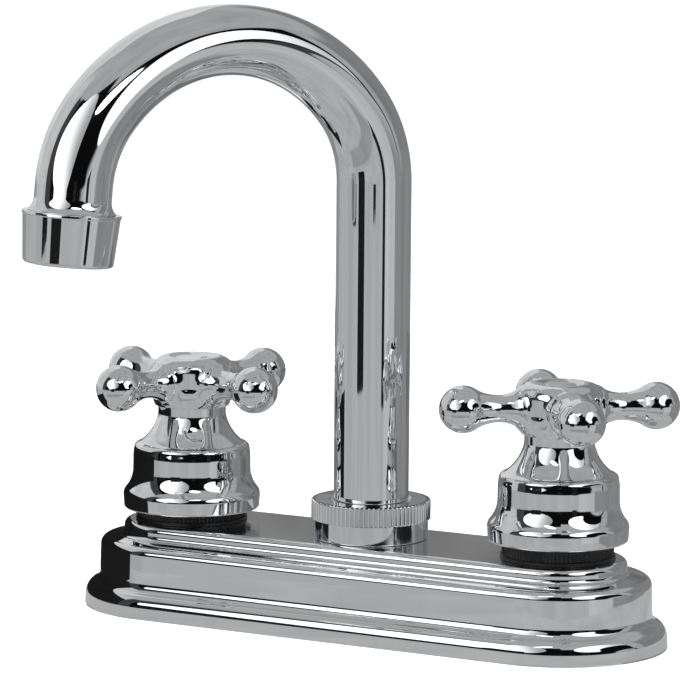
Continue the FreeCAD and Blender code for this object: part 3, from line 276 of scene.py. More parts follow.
def glowing_finish(name, find_glow, rough=1.0):
    """A black sheet that glows. find_glow(wires, spot) gives how brightly at each place."""
    material, wires, spot = new_finish(name)
    glow = find_glow(wires, spot)
    wires.surface(Base_Color=grey(0.0), Roughness=rough,
                  Emission_Color=grey(1.0), Emission_Strength=glow)
    return material

# %% [markdown]
# Bright chrome plate is a mirror with a few faults: the polished casting under it is faintly wavy,
# and fingers and cloths leave patches that are a touch duller. The waves are a very low bump a few
# millimetres wide, and the patches change the roughness and, by a little, the tone.
# The cover's table is buffed along its length, so its chrome has fine lengthwise lines where the
# face is level. The spout nut is the least polished piece and gets a satin version of the same.

# %% Chrome finishes
WAVES_PER_METRE = 130.0
PATCHES_PER_METRE = 90.0
SPECKS_PER_METRE = 2600.0
SPECK_DULLNESS = 0.018
BUFFING_STRETCH = (60.0, 4200.0, 4200.0)
BUFFING_DEPTH = 0.000002
CLEAN_PLATE = (0.80, 0.81, 0.825, 1)
WIPED_PLATE = (0.755, 0.765, 0.785, 1)


def chrome_finish(name, wave, dull, brushed=0.0, sheen=0.022):
    """Plate with waves of a depth in metres, patches as dull as given, and buffed level faces."""
    material, wires, spot = new_finish(name)
    waves = wires.noise(spot, WAVES_PER_METRE, 1.0)
    wiped = wires.noise(wires.stretch(spot, (1.0, 1.0, 0.4)), PATCHES_PER_METRE, 4.0, 0.6)
    specks = wires.noise(spot, SPECKS_PER_METRE, 2.0)
    patch = wires.ramp(wiped, 0.52, 0.75)
    rough = wires.math("MULTIPLY_ADD", patch, dull, sheen)
    rough = wires.math("MULTIPLY_ADD", specks, SPECK_DULLNESS, rough)
    normal = wires.bump(waves, wave)
    if brushed:
        lines = wires.noise(wires.stretch(spot, BUFFING_STRETCH), 1.0, 3.0)
        facing = wires.add("ShaderNodeNewGeometry").outputs["Normal"]
        upward = wires.add("ShaderNodeSeparateXYZ", {0: facing}).outputs[2]
        level = wires.ramp(upward, 0.985, 0.999)
        rough = wires.math("MULTIPLY_ADD", level, brushed, rough)
        normal = wires.bump(wires.math("MULTIPLY", lines, level), BUFFING_DEPTH, normal)
    colour = wires.blend(patch, CLEAN_PLATE, WIPED_PLATE)
    wires.surface(Base_Color=colour, Metallic=1.0, Roughness=rough, Normal=normal)
    return material


chrome = chrome_finish("bright_chrome", wave=0.000010, dull=0.035)
cover_chrome = chrome_finish("cover_chrome", wave=0.000012, dull=0.035, brushed=0.10)
button_chrome = chrome_finish("plated_plastic", wave=0.000006, dull=0.06)
nut_chrome = chrome_finish("satin_chrome", wave=0.000020, dull=0.16, brushed=0.08, sheen=0.05)
chromes = (chrome, cover_chrome, button_chrome, nut_chrome)
print("chrome finishes:", [finish.name for finish in chromes])

# %% [markdown]
# The rings under the handles are moulded in black plastic. Moulded plastic has a fine grain that
# scatters light. The other pieces are hidden when the tap is mounted, but each still gets the look
# of its own stuff: turned brass, zinc-plated steel, fibre, nylon, rubber and foam.

# %% Plastic, rubber and the hidden metals
CLOUDS_PER_METRE = 160.0
TARNISH_PER_METRE = 220.0
LATHE_LINE_DEPTH = 0.00001


def moulded_finish(name, dark, light, rough, grain, depth):
    """Plastic or rubber: two near colours in soft clouds under a fine pebbled grain."""
    material, wires, spot = new_finish(name)
    clouds = wires.noise(spot, CLOUDS_PER_METRE, 3.0)
    pebbles = wires.noise(spot, grain, 3.0, 0.7)
    colour = wires.blend(wires.ramp(clouds, 0.35, 0.65), dark, light)
    shine = wires.math("MULTIPLY_ADD", pebbles, 0.12, rough)
    wires.surface(Base_Color=colour, Roughness=shine, Normal=wires.bump(pebbles, depth))
    return material


def metal_finish(name, dark, light, rough, lines):
    """Bare metal: lines round the upright axis, as a lathe leaves them, and tarnished clouds."""
    material, wires, spot = new_finish(name)
    turning = wires.noise(wires.stretch(spot, (40.0, 40.0, lines)), 1.0, 4.0, 0.7)
    tarnish = wires.ramp(wires.noise(spot, TARNISH_PER_METRE, 4.0, 0.65), 0.35, 0.7)
    shine = wires.math("MULTIPLY_ADD", turning, 0.18, rough)
    normal = wires.bump(turning, LATHE_LINE_DEPTH)
    colour = wires.blend(tarnish, light, dark)
    wires.surface(Base_Color=colour, Metallic=1.0, Roughness=shine, Normal=normal)
    return material


black_plastic = moulded_finish(
    "black_plastic", grey(0.008), grey(0.014), rough=0.28, grain=5200.0, depth=0.000008)
FINISHES = {
    "chrome": chrome,
    "chrome_plastic": button_chrome,
    "black_plastic": black_plastic,
    "grey_plastic": moulded_finish(
        "grey_plastic", grey(0.16), grey(0.20), rough=0.40, grain=3800.0, depth=0.00001),
    "nylon": moulded_finish(
        "nylon", (0.74, 0.72, 0.66, 1), (0.82, 0.80, 0.75, 1),
        rough=0.35, grain=3000.0, depth=0.000006),
    "fibre": moulded_finish(
        "fibre", (0.20, 0.03, 0.02, 1), (0.30, 0.06, 0.04, 1),
        rough=0.60, grain=6000.0, depth=0.00002),
    "rubber": moulded_finish(
        "rubber", grey(0.010), grey(0.022), rough=0.50, grain=4200.0, depth=0.000012),
    "foam_rubber": moulded_finish(
        "foam_rubber", grey(0.02), grey(0.05), rough=0.75, grain=2400.0, depth=0.00005),
    "brass": metal_finish(
        "turned_brass", (0.52, 0.34, 0.13, 1), (0.78, 0.56, 0.25, 1), rough=0.20, lines=5000.0),
    "steel": metal_finish(
        "zinc_plated_steel", (0.42, 0.43, 0.45, 1), (0.62, 0.62, 0.61, 1),
        rough=0.28, lines=2600.0),
}

slot_of = {entry["node"]: entry["material_slot"] for entry in frame["record"]["subparts"]}
for name, node in frame["nodes"].items():
    node.data.materials.clear()
    node.data.materials.append(FINISHES[slot_of[name]])
print("finished", len(frame["nodes"]), "solids with", len(FINISHES), "finishes")

# %% [markdown]
# The deck cover is one thin shell: a rim and a hollow curve at the foot, an upright wall, a rolled
# shoulder, a narrow ledge and a raised table. It could be made by bevelling a block, but its tiers
# are really one outline carried round a racetrack, so that is how it is worked out here. Each place
# on the track has a foot on the line between the valves and a direction, and a point of the outline
# lies that far out.

# %% The track round the cover
HALF_SPACING = 50.8
CUT = HALF_SPACING / 2
TABLE_EDGE = 15.1
TABLE_HEIGHT = 21.4
UNDERSIDE = 19.6
END_PLACES, SHORT_PLACES, LONG_PLACES = 72, 20, 40
corner = math.degrees(math.atan2(TABLE_EDGE, CUT))


def stations(low, high, count):
    """Equal angles from low up to, but without, high, in radians."""
    return np.radians(np.linspace(low, high, count, endpoint=False))


def track_side(angles, centre):
    """Places where rays from a hole's centre meet the straight side of the table."""
    feet = centre + TABLE_EDGE * np.cos(angles) / np.abs(np.sin(angles))
    return feet, np.zeros_like(angles), np.sign(np.sin(angles))


def track_end(angles, centre):
    """Places on a round end: every foot is the end's centre."""
    return np.full_like(angles, centre), np.cos(angles), np.sin(angles)


track = np.concatenate([
    track_end(stations(-90, 90, END_PLACES), HALF_SPACING),
    track_side(stations(90, 180 - corner, SHORT_PLACES), HALF_SPACING),
    track_side(stations(corner, 180 - corner, LONG_PLACES), 0.0),
    track_side(stations(corner, 90, SHORT_PLACES), -HALF_SPACING),
    track_end(stations(90, 270, END_PLACES), -HALF_SPACING),
    track_side(stations(270, 360 - corner, SHORT_PLACES), -HALF_SPACING),
    track_side(stations(180 + corner, 360 - corner, LONG_PLACES), 0.0),
    track_side(stations(180 + corner, 270, SHORT_PLACES), HALF_SPACING),
], axis=1)
print("places on the track:", track.shape[1])


def carried(outline, track):
    """Carries an outline round the track: foot + out x direction, at the outline's height."""
    feet, along, across = track
    out, up = outline[:, :1], outline[:, 1:]
    x, y = feet + out * along, out * across
    return np.stack([x, y, np.broadcast_to(up, x.shape)], -1)

# %% [markdown]
# The table has three round holes, so it can't be one strip. It is cut half-way between the holes
# into three cells, and each cell is a strip from its border to its hole, down the hole and back out
# below. The cells use the track's own places on their borders, and the weld then joins everything.

# %% The table's cells
CUT_PLACES = 24
INNER_EDGE = 15.2
TABLE_SHARES = (0, 0.02, 0.97, 1)
TINY = 1e-9
NEAR = 1e-6


def cell_border(angles, centre, edge):
    """Where rays from a hole's centre leave its cell, whose round or straight sides lie at edge."""
    cosine, sine = np.cos(angles), np.sin(angles)
    outward = cosine * np.sign(centre) if centre else np.zeros_like(cosine)
    to_side = TABLE_EDGE / np.maximum(np.abs(sine), TINY)
    side = np.minimum(to_side, CUT / np.maximum(np.abs(cosine), TINY))
    x = np.where(outward > 0, edge * cosine, side * cosine)
    y = np.where(outward > 0, edge * sine, side * sine)
    on_side = (outward <= TINY) & (np.abs(np.abs(y) - TABLE_EDGE) < NEAR)
    y = np.where(on_side, np.sign(y) * edge, y)
    on_cut = (outward <= TINY) & (np.abs(y) < TABLE_EDGE) & (np.abs(np.abs(x) - CUT) < NEAR)
    y = np.where(on_cut, y * edge / TABLE_EDGE, y)
    return np.stack([centre + x, y], -1)


def cell(centre, hole, angles):
    """A strip from the cell's border over the table to the hole, down its wall and out again."""
    ring = np.stack([centre + hole * np.cos(angles), hole * np.sin(angles)], -1)
    rows = []
    for height, edge, shares in ((TABLE_HEIGHT, TABLE_EDGE, TABLE_SHARES),
                                 (UNDERSIDE, INNER_EDGE, TABLE_SHARES[::-1])):
        border = cell_border(angles, centre, edge)
        for share in shares:
            flat = border + (ring - border) * share
            rows.append(np.concatenate([flat, np.full((len(flat), 1), height)], axis=1))
    return skin(np.stack(rows))


end_angles = np.concatenate([
    stations(-90, 90, END_PLACES),
    stations(90, 180 - corner, SHORT_PLACES),
    stations(180 - corner, 180 + corner, CUT_PLACES),
    stations(180 + corner, 270, SHORT_PLACES),
])
middle_angles = np.concatenate([
    stations(-corner, corner, CUT_PLACES),
    stations(corner, 180 - corner, LONG_PLACES),
    stations(180 - corner, 180 + corner, CUT_PLACES),
    stations(180 + corner, 360 - corner, LONG_PLACES),
])
print("places round a cell:", len(end_angles), "at the ends and", len(middle_angles), "between")

# %% [markdown]
# The outline starts at the table's edge, runs down over ledge, shoulder and wall to the rim, and
# comes back up inside the shell. The hollow above the rim catches the lamps as two bright lines.

# %% Deck cover
LOCK_HOLE = 11.3
SPOUT_HOLE = 12.5
COVER_OUTLINE = [
    (TABLE_EDGE, TABLE_HEIGHT), (16.8, 19.7, -1.7), (16.8, 19.1), (18.2, 17.7, 1.4), (20.7, 17.0),
    (22.7, 15.0, -2.0), (22.9, 8.3), (24.4, 5.94, 2.6), (26.54, 2.78, -3.7), (26.7, 0.0),
    (25.1, 0.0), (25.1, 1.45), (21.1, 6.0), (21.1, 14.4), (20.1, 15.4), (INNER_EDGE, 15.4),
    (INNER_EDGE, UNDERSIDE),
]
cover_points, cover_faces = joined([
    skin(carried(trace(COVER_OUTLINE, closed=False), track)),
    cell(HALF_SPACING, LOCK_HOLE, end_angles),
    cell(-HALF_SPACING, LOCK_HOLE, end_angles + math.pi),
    cell(0.0, SPOUT_HOLE, middle_angles),
])
cover_mesh = make_mesh("deck_cover_skin", cover_points, cover_faces)
place("deck_cover_skin", cover_mesh, "base", "deck_cover", cover_chrome)

# %% [markdown]
# The spout nut is turned and then knurled: straight grooves are pressed into its upper rim so that
# fingers can grip it. The rim's radius dips by a narrow wave that repeats round the nut, which
# gives real grooves that catch light on both flanks. A bump texture would be lighter, but its rim
# would look smooth against the background.

# %% Spout nut
def ribbed(grid, centre, rows, count, depth, sharpness):
    """Draws marked rows inwards by depth x (half a cosine wave + 1/2) to the power of sharpness."""
    middle = np.array([centre[0], centre[1], 0.0])
    flat = (grid - middle) * (1, 1, 0)
    angle = np.arctan2(flat[..., 1], flat[..., 0])
    dip = depth * (0.5 + 0.5 * np.cos(count * angle)) ** sharpness * rows[:, None]
    out = np.linalg.norm(flat, axis=-1)
    return grid - flat * (dip / out)[..., None]


NUT_BOTTOM = 21.45
NUT_RIBS = 76
NUT_OUTLINE = [
    (12.25, 0.0), (13.75, 0.0), (14.05, 0.3, 0.3), (14.05, 4.7), (14.45, 4.7), (14.65, 4.9, 0.2),
    (14.65, 9.1), (14.25, 9.5, 0.4), (10.15, 9.5), (9.95, 9.3, 0.2), (9.95, 8.3), (10.9, 8.3),
    (10.9, 6.35), (12.25, 6.35),
]
nut_line = trace(NUT_OUTLINE, edge=0.05, step=15)
nut_rim = (nut_line[:, 0] > 14.2) & (nut_line[:, 1] > 4.6)
plain_nut = turned(nut_line, NUT_RIBS * 10, base=NUT_BOTTOM)
nut_grid = ribbed(plain_nut, (0, 0), nut_rim, NUT_RIBS, depth=0.72, sharpness=1.1)
nut_mesh = make_mesh("spout_nut_skin", *skin(nut_grid, ring_rows=True), crease=50)
place("spout_nut_skin", nut_mesh, "base", "spout_nut", nut_chrome)

# %% [markdown]
# The black rings under the handles are threaded rings with finer ribs above a smooth lip.
# They are the same surface as the nut with other numbers, so one function serves both sides.

# %% Lock rings
RING_RIBS = 82
RING_OUTLINE = [
    (11.05, 0.0), (13.7, 0.0), (13.9, 0.2, 0.2), (13.9, 0.7), (13.7, 0.9, 0.2), (13.5, 0.9),
    (13.5, 4.3), (13.0, 4.8, 0.5), (11.05, 4.8),
]
ring_line = trace(RING_OUTLINE, edge=0.05, step=20)
ring_band = (ring_line[:, 0] > 13.05) & (ring_line[:, 1] > 0.95)
for side, x in (("hot", -HALF_SPACING), ("cold", HALF_SPACING)):
    plain_ring = turned(ring_line, RING_RIBS * 9, (x, 0.0), TABLE_HEIGHT)
    grid = ribbed(plain_ring, (x, 0.0), ring_band, RING_RIBS, depth=0.32, sharpness=1.4)
    name = side + "_lock_ring"
    mesh = make_mesh(name + "_skin", *skin(grid, ring_rows=True), crease=50)
    place(name + "_skin", mesh, "base", name, black_plastic)

# %% [markdown]
# A handle is one casting. Its bell, from the flared skirt over the drum to the hollow waist, is
# turned. The hub and its four arms are not: the arms flow into the hub, and no single grid covers
# such a shape. There the surface is where a distance is nought. One distance measures to the hub's
# outline, another to an arm's outline, and their smooth minimum rounds the join, as a casting's
# fillet does.

# %% Distances to the hub and its arms
HUB_OUTLINE = [
    (0.0, 25.8), (9.2, 25.8), (9.9, 31.0, 8.0), (9.9, 34.7), (6.5, 38.1, 3.4), (5.9, 38.1),
    (0.0, 37.2, -19.8),
]
ARM_HEIGHT = 32.1
ARM_WAIST = 3.3
ARM_OUTLINE = [
    (4.0, 0.0), (29.35, 0.0), (23.6, 5.75, 5.75), (20.1, 4.56, 5.75), (15.0, ARM_WAIST, -11.4),
    (10.0, 4.86, -8.8), (4.0, 4.86),
]
JOIN_ROUND = 1.8
hub_line = trace(HUB_OUTLINE, step=4.0)
arm_line = trace(ARM_OUTLINE, step=4.0)


def inside_distance(points, outline):
    """Signed distance from 2D points to a closed outline: the nearest run's, minus inside."""
    nearest = np.full(len(points), np.inf)
    crossings = np.zeros(len(points), int)
    for start, end in zip(outline, np.roll(outline, -1, axis=0)):
        run, gap = end - start, points - start
        share = np.clip(gap @ run / (run @ run), 0, 1)
        nearest = np.minimum(nearest, ((gap - share[:, None] * run) ** 2).sum(1))
        rises = (start[1] <= points[:, 1]) != (end[1] <= points[:, 1])
        with np.errstate(divide="ignore", invalid="ignore"):
            crossings += rises & (gap[:, 0] < gap[:, 1] * run[0] / run[1])
    return np.sqrt(nearest) * np.where(crossings % 2, -1, 1)


def cross_distance(points):
    """The smooth minimum of hub and arms. Folding x and y onto one octant measures all arms."""
    out = np.hypot(points[:, 0], points[:, 1])
    hub = inside_distance(np.stack([out, points[:, 2]], -1), hub_line)
    ahead = np.maximum(np.abs(points[:, 0]), np.abs(points[:, 1]))
    aside = np.minimum(np.abs(points[:, 0]), np.abs(points[:, 1]))
    from_axis = np.hypot(aside, points[:, 2] - ARM_HEIGHT)
    arm = inside_distance(np.stack([ahead, from_axis], -1), arm_line)
    share = np.clip(0.5 + 0.5 * (arm - hub) / JOIN_ROUND, 0, 1)
    return arm + (hub - arm) * share - JOIN_ROUND * share * (1 - share)


def slope(points, size=0.02):
    """How fast the distance grows along x, y and z, from differences over a small step."""
    steps = np.eye(3) * size
    rises = [cross_distance(points + step) - cross_distance(points - step) for step in steps]
    return np.stack(rises, -1) / (2 * size)


over_arm = np.array([[15.0, 0.0, ARM_HEIGHT + ARM_WAIST + 1.0]])
print("a point 1 mm over an arm's waist lies %.2f mm off" % cross_distance(over_arm)[0])

# %% [markdown]
# To turn the distance into a mesh, space is cut into small cubes. Each cube that the surface
# crosses gets one point, and each cube edge that it crosses gets a quad between the four cubes
# around it. The points are then pushed along the distance's slope until they lie on the surface.

# %% From distances to a surface
CUBE = 0.42
LOW_CORNER = np.array([-30.2, -30.2, 25.0])
HIGH_CORNER = np.array([30.2, 30.2, 39.0])
PUSHES = 3


def without(array, axis, end):
    """The array without its last layer along an axis where end is 1, or its first where it is 0."""
    cut = [slice(None)] * array.ndim
    cut[axis] = slice(0, -1) if end else slice(1, None)
    return array[tuple(cut)]


def edge_crossings(value, lattice, axis):
    """For all cube edges along an axis: whether the surface crosses, where, and if it rises."""
    low, high = without(value, axis, 1), without(value, axis, 0)
    crossed = (low < 0) != (high < 0)
    with np.errstate(divide="ignore", invalid="ignore"):
        share = np.where(crossed, low / (low - high), 0)
    where = without(lattice, axis, 1).copy()
    where[..., axis] += CUBE * share
    return crossed, where, high > low


def edge_quads(crossed, rising, axis, cubes):
    """A quad of cube numbers round each crossed edge, turned so that it faces outwards."""
    u, v = (axis + 1) % 3, (axis + 2) % 3
    spot = np.stack(np.nonzero(crossed), -1)
    spot = spot[(spot[:, u] > 0) & (spot[:, v] > 0)]
    shifts = np.zeros((4, 3), int)
    shifts[[1, 2], u] = -1
    shifts[[2, 3], v] = -1
    around = np.moveaxis(spot[:, None] + shifts, -1, 0)
    index = np.ravel_multi_index(tuple(around), cubes)
    return np.where(rising[tuple(spot.T)][:, None], index, index[:, ::-1])


def cross_surface():
    """Points and quads of the cross. A cube's point is the mean of its edges' crossings."""
    counts = np.ceil((HIGH_CORNER - LOW_CORNER) / CUBE).astype(int) + 1
    axes = [low + CUBE * np.arange(count) for low, count in zip(LOW_CORNER, counts)]
    lattice = np.stack(np.meshgrid(*axes, indexing="ij"), -1)
    value = cross_distance(lattice.reshape(-1, 3)).reshape(counts)
    cubes = counts - 1
    total, weight, quads = np.zeros((*cubes, 3)), np.zeros(cubes), []
    for axis in range(3):
        u, v = (axis + 1) % 3, (axis + 2) % 3
        crossed, where, rising = edge_crossings(value, lattice, axis)
        for end_u, end_v in ((1, 1), (1, 0), (0, 1), (0, 0)):
            here = without(without(crossed, u, end_u), v, end_v)
            total += without(without(where, u, end_u), v, end_v) * here[..., None]
            weight += here
        quads.append(edge_quads(crossed, rising, axis, cubes))
    quads = np.concatenate(quads)
    used = np.unique(quads)
    renumber = np.zeros(np.prod(cubes), int)
    renumber[used] = np.arange(len(used))
    points = (total.reshape(-1, 3) / np.maximum(weight.reshape(-1, 1), 1))[used]
    for _ in range(PUSHES):
        lean = slope(points)
        points = points - lean * (cross_distance(points) / (lean ** 2).sum(1))[:, None]
    return points, renumber[quads]


cross_points, cross_faces = cross_surface()
print("hub and arms:", len(cross_points), "points")

# %% [markdown]
# Bell and cross are joined into one piece, and the bell's neck ends inside the hub. The cross keeps
# the distance's slope as its normals, so that its plating reflects as smoothly as the turned parts.
# The cold handle stands 1.27 mm higher than the hot one, because its valve is half a turn open.

# %% Handles
BELL_OUTLINE = [
    (0.0, 18.7), (6.5, 18.7), (12.85, 14.2), (12.85, 10.0), (14.9, 3.4), (14.9, 0.0), (16.3, 0.0),
    (16.9, 0.6, 0.6), (17.1, 3.3), (16.5, 4.9, 2.43), (14.68, 9.9, -7.78), (14.64, 13.4),
    (14.4, 15.1, 14.0), (13.2, 16.3, 1.2), (8.45, 23.6, -11.5), (8.45, 27.5), (0.0, 27.5),
]
BELL_COLUMNS = 176
HANDLE_BOTTOM = 24.3
COLD_RISE = 1.27
ON_CROSS = 0.02
HANDLES = (("hot", -HALF_SPACING, 0.0, -109.2), ("cold", HALF_SPACING, COLD_RISE, -52.0))


def handle_mesh(name, x, lift, turn):
    """The bell turned about the valve's axis, and the cross turned by the arms' angle.

    Points that lie on the cross get the distance's slope as their normal."""
    bell_line = trace(BELL_OUTLINE, closed=False, step=4.0)
    bell = skin(turned(bell_line, BELL_COLUMNS, (x, 0.0), lift))
    cosine, sine = math.cos(math.radians(turn)), math.sin(math.radians(turn))
    spin = np.array([[cosine, -sine, 0], [sine, cosine, 0], [0, 0, 1]])
    cross = cross_points @ spin.T + (x, 0.0, lift)
    mesh = make_mesh(name, *joined([(cross, cross_faces), bell]), crease=40)
    places = np.empty(len(mesh.vertices) * 3)
    mesh.vertices.foreach_get("co", places)
    places = (places.reshape(-1, 3) / MM - (x, 0.0, lift)) @ spin
    on_cross = np.abs(cross_distance(places)) < ON_CROSS
    lean = slope(places[on_cross])
    exact = np.zeros_like(places)
    exact[on_cross] = lean / np.linalg.norm(lean, axis=1, keepdims=True) @ spin.T
    corners = np.empty(len(mesh.loops), int)
    mesh.loops.foreach_get("vertex_index", corners)
    mesh.normals_split_custom_set(exact[corners].tolist())
    print(name, "exact normals:", int(on_cross.sum()), "of", len(places), "points")
    return mesh


for side, x, rise, angle in HANDLES:
    name = side + "_handle"
    mesh = handle_mesh(name + "_skin", x, HANDLE_BOTTOM + rise, angle)
    place(name + "_skin", mesh, side + "_turn", name, chrome)

# %% [markdown]
# A small plated disc closes the top of each hub and hides the screw. Real ones carry a mark that
# can't be read here, so these are plain, with a slightly swollen face.

# %% Index buttons
BUTTON_OUTLINE = [(0.0, 0.0), (4.25, 0.0), (4.25, 0.85), (4.1, 1.0, 0.15), (0.0, 1.3, 28.2)]
BUTTON_BOTTOM = 61.0
button_line = trace(BUTTON_OUTLINE, closed=False, step=1.0)
for side, x, rise, _ in HANDLES:
    name = side + "_index_button"
    mesh = make_mesh(name + "_skin", *skin(turned(button_line, 96, (x, 0.0), BUTTON_BOTTOM + rise)))
    place(name + "_skin", mesh, side + "_turn", name, button_chrome)

# %% [markdown]
# The spout is a tube bent on a mandrel: a straight post, a tighter bend, a wider crown, a tighter
# bend again, and a flare pressed into its end. Its middle line is worked out first, as points with
# the way along it at each. The crown's radius follows from the arch's rise and width, because its
# bend must touch both side bends.

# %% Spout path
SPOUT_YAW = math.radians(-122.5)
TUBE_FOOT = 27.05
ARCH_START = 108.8
ARCH_WIDTH = 80.7
ARCH_RISE = 35.6
SIDE_BEND = 31.0
OUTLET_RUN = 6.0
LEAN = math.radians(5.0)
HALF_PI = math.pi / 2
inset = ARCH_WIDTH / 2 - SIDE_BEND
CROWN_BEND = (inset ** 2 + ARCH_RISE ** 2 - SIDE_BEND ** 2) / (2 * (ARCH_RISE - SIDE_BEND))
CROWN_HALF = math.atan2(inset, CROWN_BEND - ARCH_RISE)


def bend(centre, radius, start, end, count):
    """Points on a bend and the way along it, from a start angle to an end angle."""
    angle = np.linspace(start, end, count, endpoint=False)
    points = centre + radius * np.stack([np.cos(angle), np.sin(angle)], -1)
    return points, np.stack([np.sin(angle), -np.cos(angle)], -1)


def straight(start, way, length, count):
    """Points on a straight run, closer together towards both ends."""
    share = (1 - np.cos(np.linspace(0, math.pi, count, endpoint=False))) / 2
    return start + way * length * share[:, None], np.tile(way, (count, 1))


first_centre = np.array([SIDE_BEND, ARCH_START])
crown_centre = np.array([ARCH_WIDTH / 2, ARCH_START + ARCH_RISE - CROWN_BEND])
last_centre = np.array([ARCH_WIDTH - SIDE_BEND, ARCH_START])
foot, upwards = np.array([0.0, TUBE_FOOT]), np.array([0.0, 1.0])
down = np.array([math.sin(LEAN), -math.cos(LEAN)])
arch_end = last_centre + SIDE_BEND * np.array([math.cos(LEAN), math.sin(LEAN)])
runs = [
    straight(foot, upwards, ARCH_START - TUBE_FOOT, 12),
    bend(first_centre, SIDE_BEND, math.pi, HALF_PI + CROWN_HALF, 30),
    bend(crown_centre, CROWN_BEND, HALF_PI + CROWN_HALF, HALF_PI - CROWN_HALF, 44),
    bend(last_centre, SIDE_BEND, HALF_PI - CROWN_HALF, LEAN, 40),
    straight(arch_end, down, OUTLET_RUN, 24),
]
path = np.concatenate([points for points, _ in runs] + [arch_end[None] + down * OUTLET_RUN])
ways = np.concatenate([way for _, way in runs] + [down[None]])
print("crown bend radius %.2f mm, path points %d" % (CROWN_BEND, len(path)))

# %% [markdown]
# Rings are carried along the path, square to it, and their radius follows the flare: over its last
# 3 mm the tube swells by 1.3 mm, along an arc that starts tangent to it. A tube that is bent
# flattens a little, most at the crown, and so does this one. Beyond the flare a short neck goes
# into the housing. The inside is carried back the same way, so the tube has its real wall.

# %% Spout tube
TUBE_RADIUS = 9.2
TUBE_BORE = 8.0
LIP_RADIUS = 10.4
NECK_RADIUS = 10.1
NECK_LENGTH = 5.5
FLARE_LENGTH = 3.0
FLARE_RISE = 1.3
FLARE_BEND = (FLARE_LENGTH ** 2 + FLARE_RISE ** 2) / (2 * FLARE_RISE)
FLATTENING = 0.075
RING_COLUMNS = 112


def spout_place(out, aside, up):
    """Turns out and aside, measured in the spout's own plane, about the post to where it points."""
    cosine, sine = math.cos(SPOUT_YAW), math.sin(SPOUT_YAW)
    return np.stack([out * cosine - aside * sine, out * sine + aside * cosine, up], -1)


def along_tube(path, ways, radius):
    """Ovals square to the path: its point + radius x (squeeze x cosine x side + sine x level).

    The squeeze is 1 - FLATTENING x (the way's level part) squared, so it is strongest at the
    crown. The outlet run, which leans but isn't bent, has none."""
    angle = np.linspace(0, 2 * math.pi, RING_COLUMNS, endpoint=False)
    side = np.stack([ways[:, 1], -ways[:, 0]], -1)
    bent = np.abs(ways[:, 0]) > math.sin(LEAN) + NEAR
    squeeze = np.where(bent, 1 - FLATTENING * ways[:, 0] ** 2, 1.0)
    reach = (radius * squeeze)[:, None] * np.cos(angle)
    flat = path[:, None] + side[:, None] * reach[..., None]
    level = (radius * np.ones(len(path)))[:, None] * np.sin(angle)
    return spout_place(flat[..., 0], level, flat[..., 1])


steps = np.linalg.norm(np.diff(path, axis=0), axis=1)
left = np.concatenate([np.cumsum(steps[::-1])[::-1], [0.0]])
into_flare = np.clip(FLARE_LENGTH - left, 0, FLARE_LENGTH)
flare = FLARE_BEND - np.sqrt(FLARE_BEND ** 2 - into_flare ** 2)
neck = path[-1] + down * np.array([[0.0], [0.01], [NECK_LENGTH]])
neck_ways = np.tile(down, (3, 1))
tube_rows = [
    along_tube(path, ways, TUBE_RADIUS + flare),
    along_tube(neck, neck_ways, np.array([LIP_RADIUS, NECK_RADIUS, NECK_RADIUS])),
    along_tube(neck[::-1], neck_ways, TUBE_BORE),
    along_tube(path[::-1], ways[::-1], TUBE_BORE),
]
tube_mesh = make_mesh("spout_tube_skin", *skin(np.concatenate(tube_rows), ring_rows=True))
place("spout_tube_skin", tube_mesh, "spout", "spout_tube", chrome)

# %% [markdown]
# The aerator housing is a tapered cup with a thin lip at the top and a rounded lower edge.
# It is turned about the outlet's own axis, which leans a little, so its grid is tipped into place.

# %% Aerator housing
HOUSING_OUTLINE = [
    (10.15, 0.0), (11.6, 0.0), (11.8, 0.2, 0.2), (11.8, 0.65), (11.6, 0.95, 0.3), (10.8, 11.4),
    (9.8, 12.4, 1.0), (9.2, 12.4), (9.0, 12.2, 0.2), (9.0, 8.65), (10.15, 8.65),
]
HOUSING_START = 6.05


def at_outlet(grid, distance):
    """Tips a turned grid so that its up runs down the outlet, distance past the arch's end."""
    x, y, z = np.moveaxis(grid, -1, 0)
    outward, upward = arch_end + down * distance
    out = outward + x * math.cos(LEAN) + z * down[0]
    up = upward + x * math.sin(LEAN) + z * down[1]
    return spout_place(out, -y, up)


housing_line = trace(HOUSING_OUTLINE, edge=0.06, step=10)
housing_grid = at_outlet(turned(housing_line, 144), HOUSING_START)
housing_mesh = make_mesh("aerator_housing_skin", *skin(housing_grid, ring_rows=True))
place("aerator_housing_skin", housing_mesh, "spout", "aerator_housing", chrome)

# %% [markdown]
# The tap stands on a plain pale deck that is lit from above and glows a little itself, so that it
# stays as white as a catalogue page and keeps only a faint shadow. Mirrors don't see it: what the
# plating reflects below the horizon is drawn further down, where its tone can be set on its own.

# %% Deck and soft top light
DECK_EDGE = 7.0
DECK_RINGS, DECK_COLUMNS = 40, 96
reach = np.linspace(0, 1, DECK_RINGS)[:, None] ** 2
angles = np.linspace(0, 2 * math.pi, DECK_COLUMNS, endpoint=False)
level = np.zeros((DECK_RINGS, DECK_COLUMNS))
deck_grid = np.stack([reach * np.cos(angles), reach * np.sin(angles), level], -1) * DECK_EDGE
deck_points, deck_faces = skin(deck_grid)
deck_mesh = bpy.data.meshes.new("deck")
deck_mesh.from_pydata(deck_points.tolist(), [], deck_faces.tolist())
deck_material, wires, spot = new_finish("pale_deck")
shade = wires.blend(wires.noise(spot, 9.0, 3.0), grey(0.80), grey(0.83))
wires.surface(Base_Color=shade, Roughness=0.75, Emission_Color=grey(1.0), Emission_Strength=0.62)
deck_mesh.materials.append(deck_material)
deck = bpy.data.objects.new("deck", deck_mesh)
bpy.context.scene.collection.objects.link(deck)
deck.visible_glossy = False

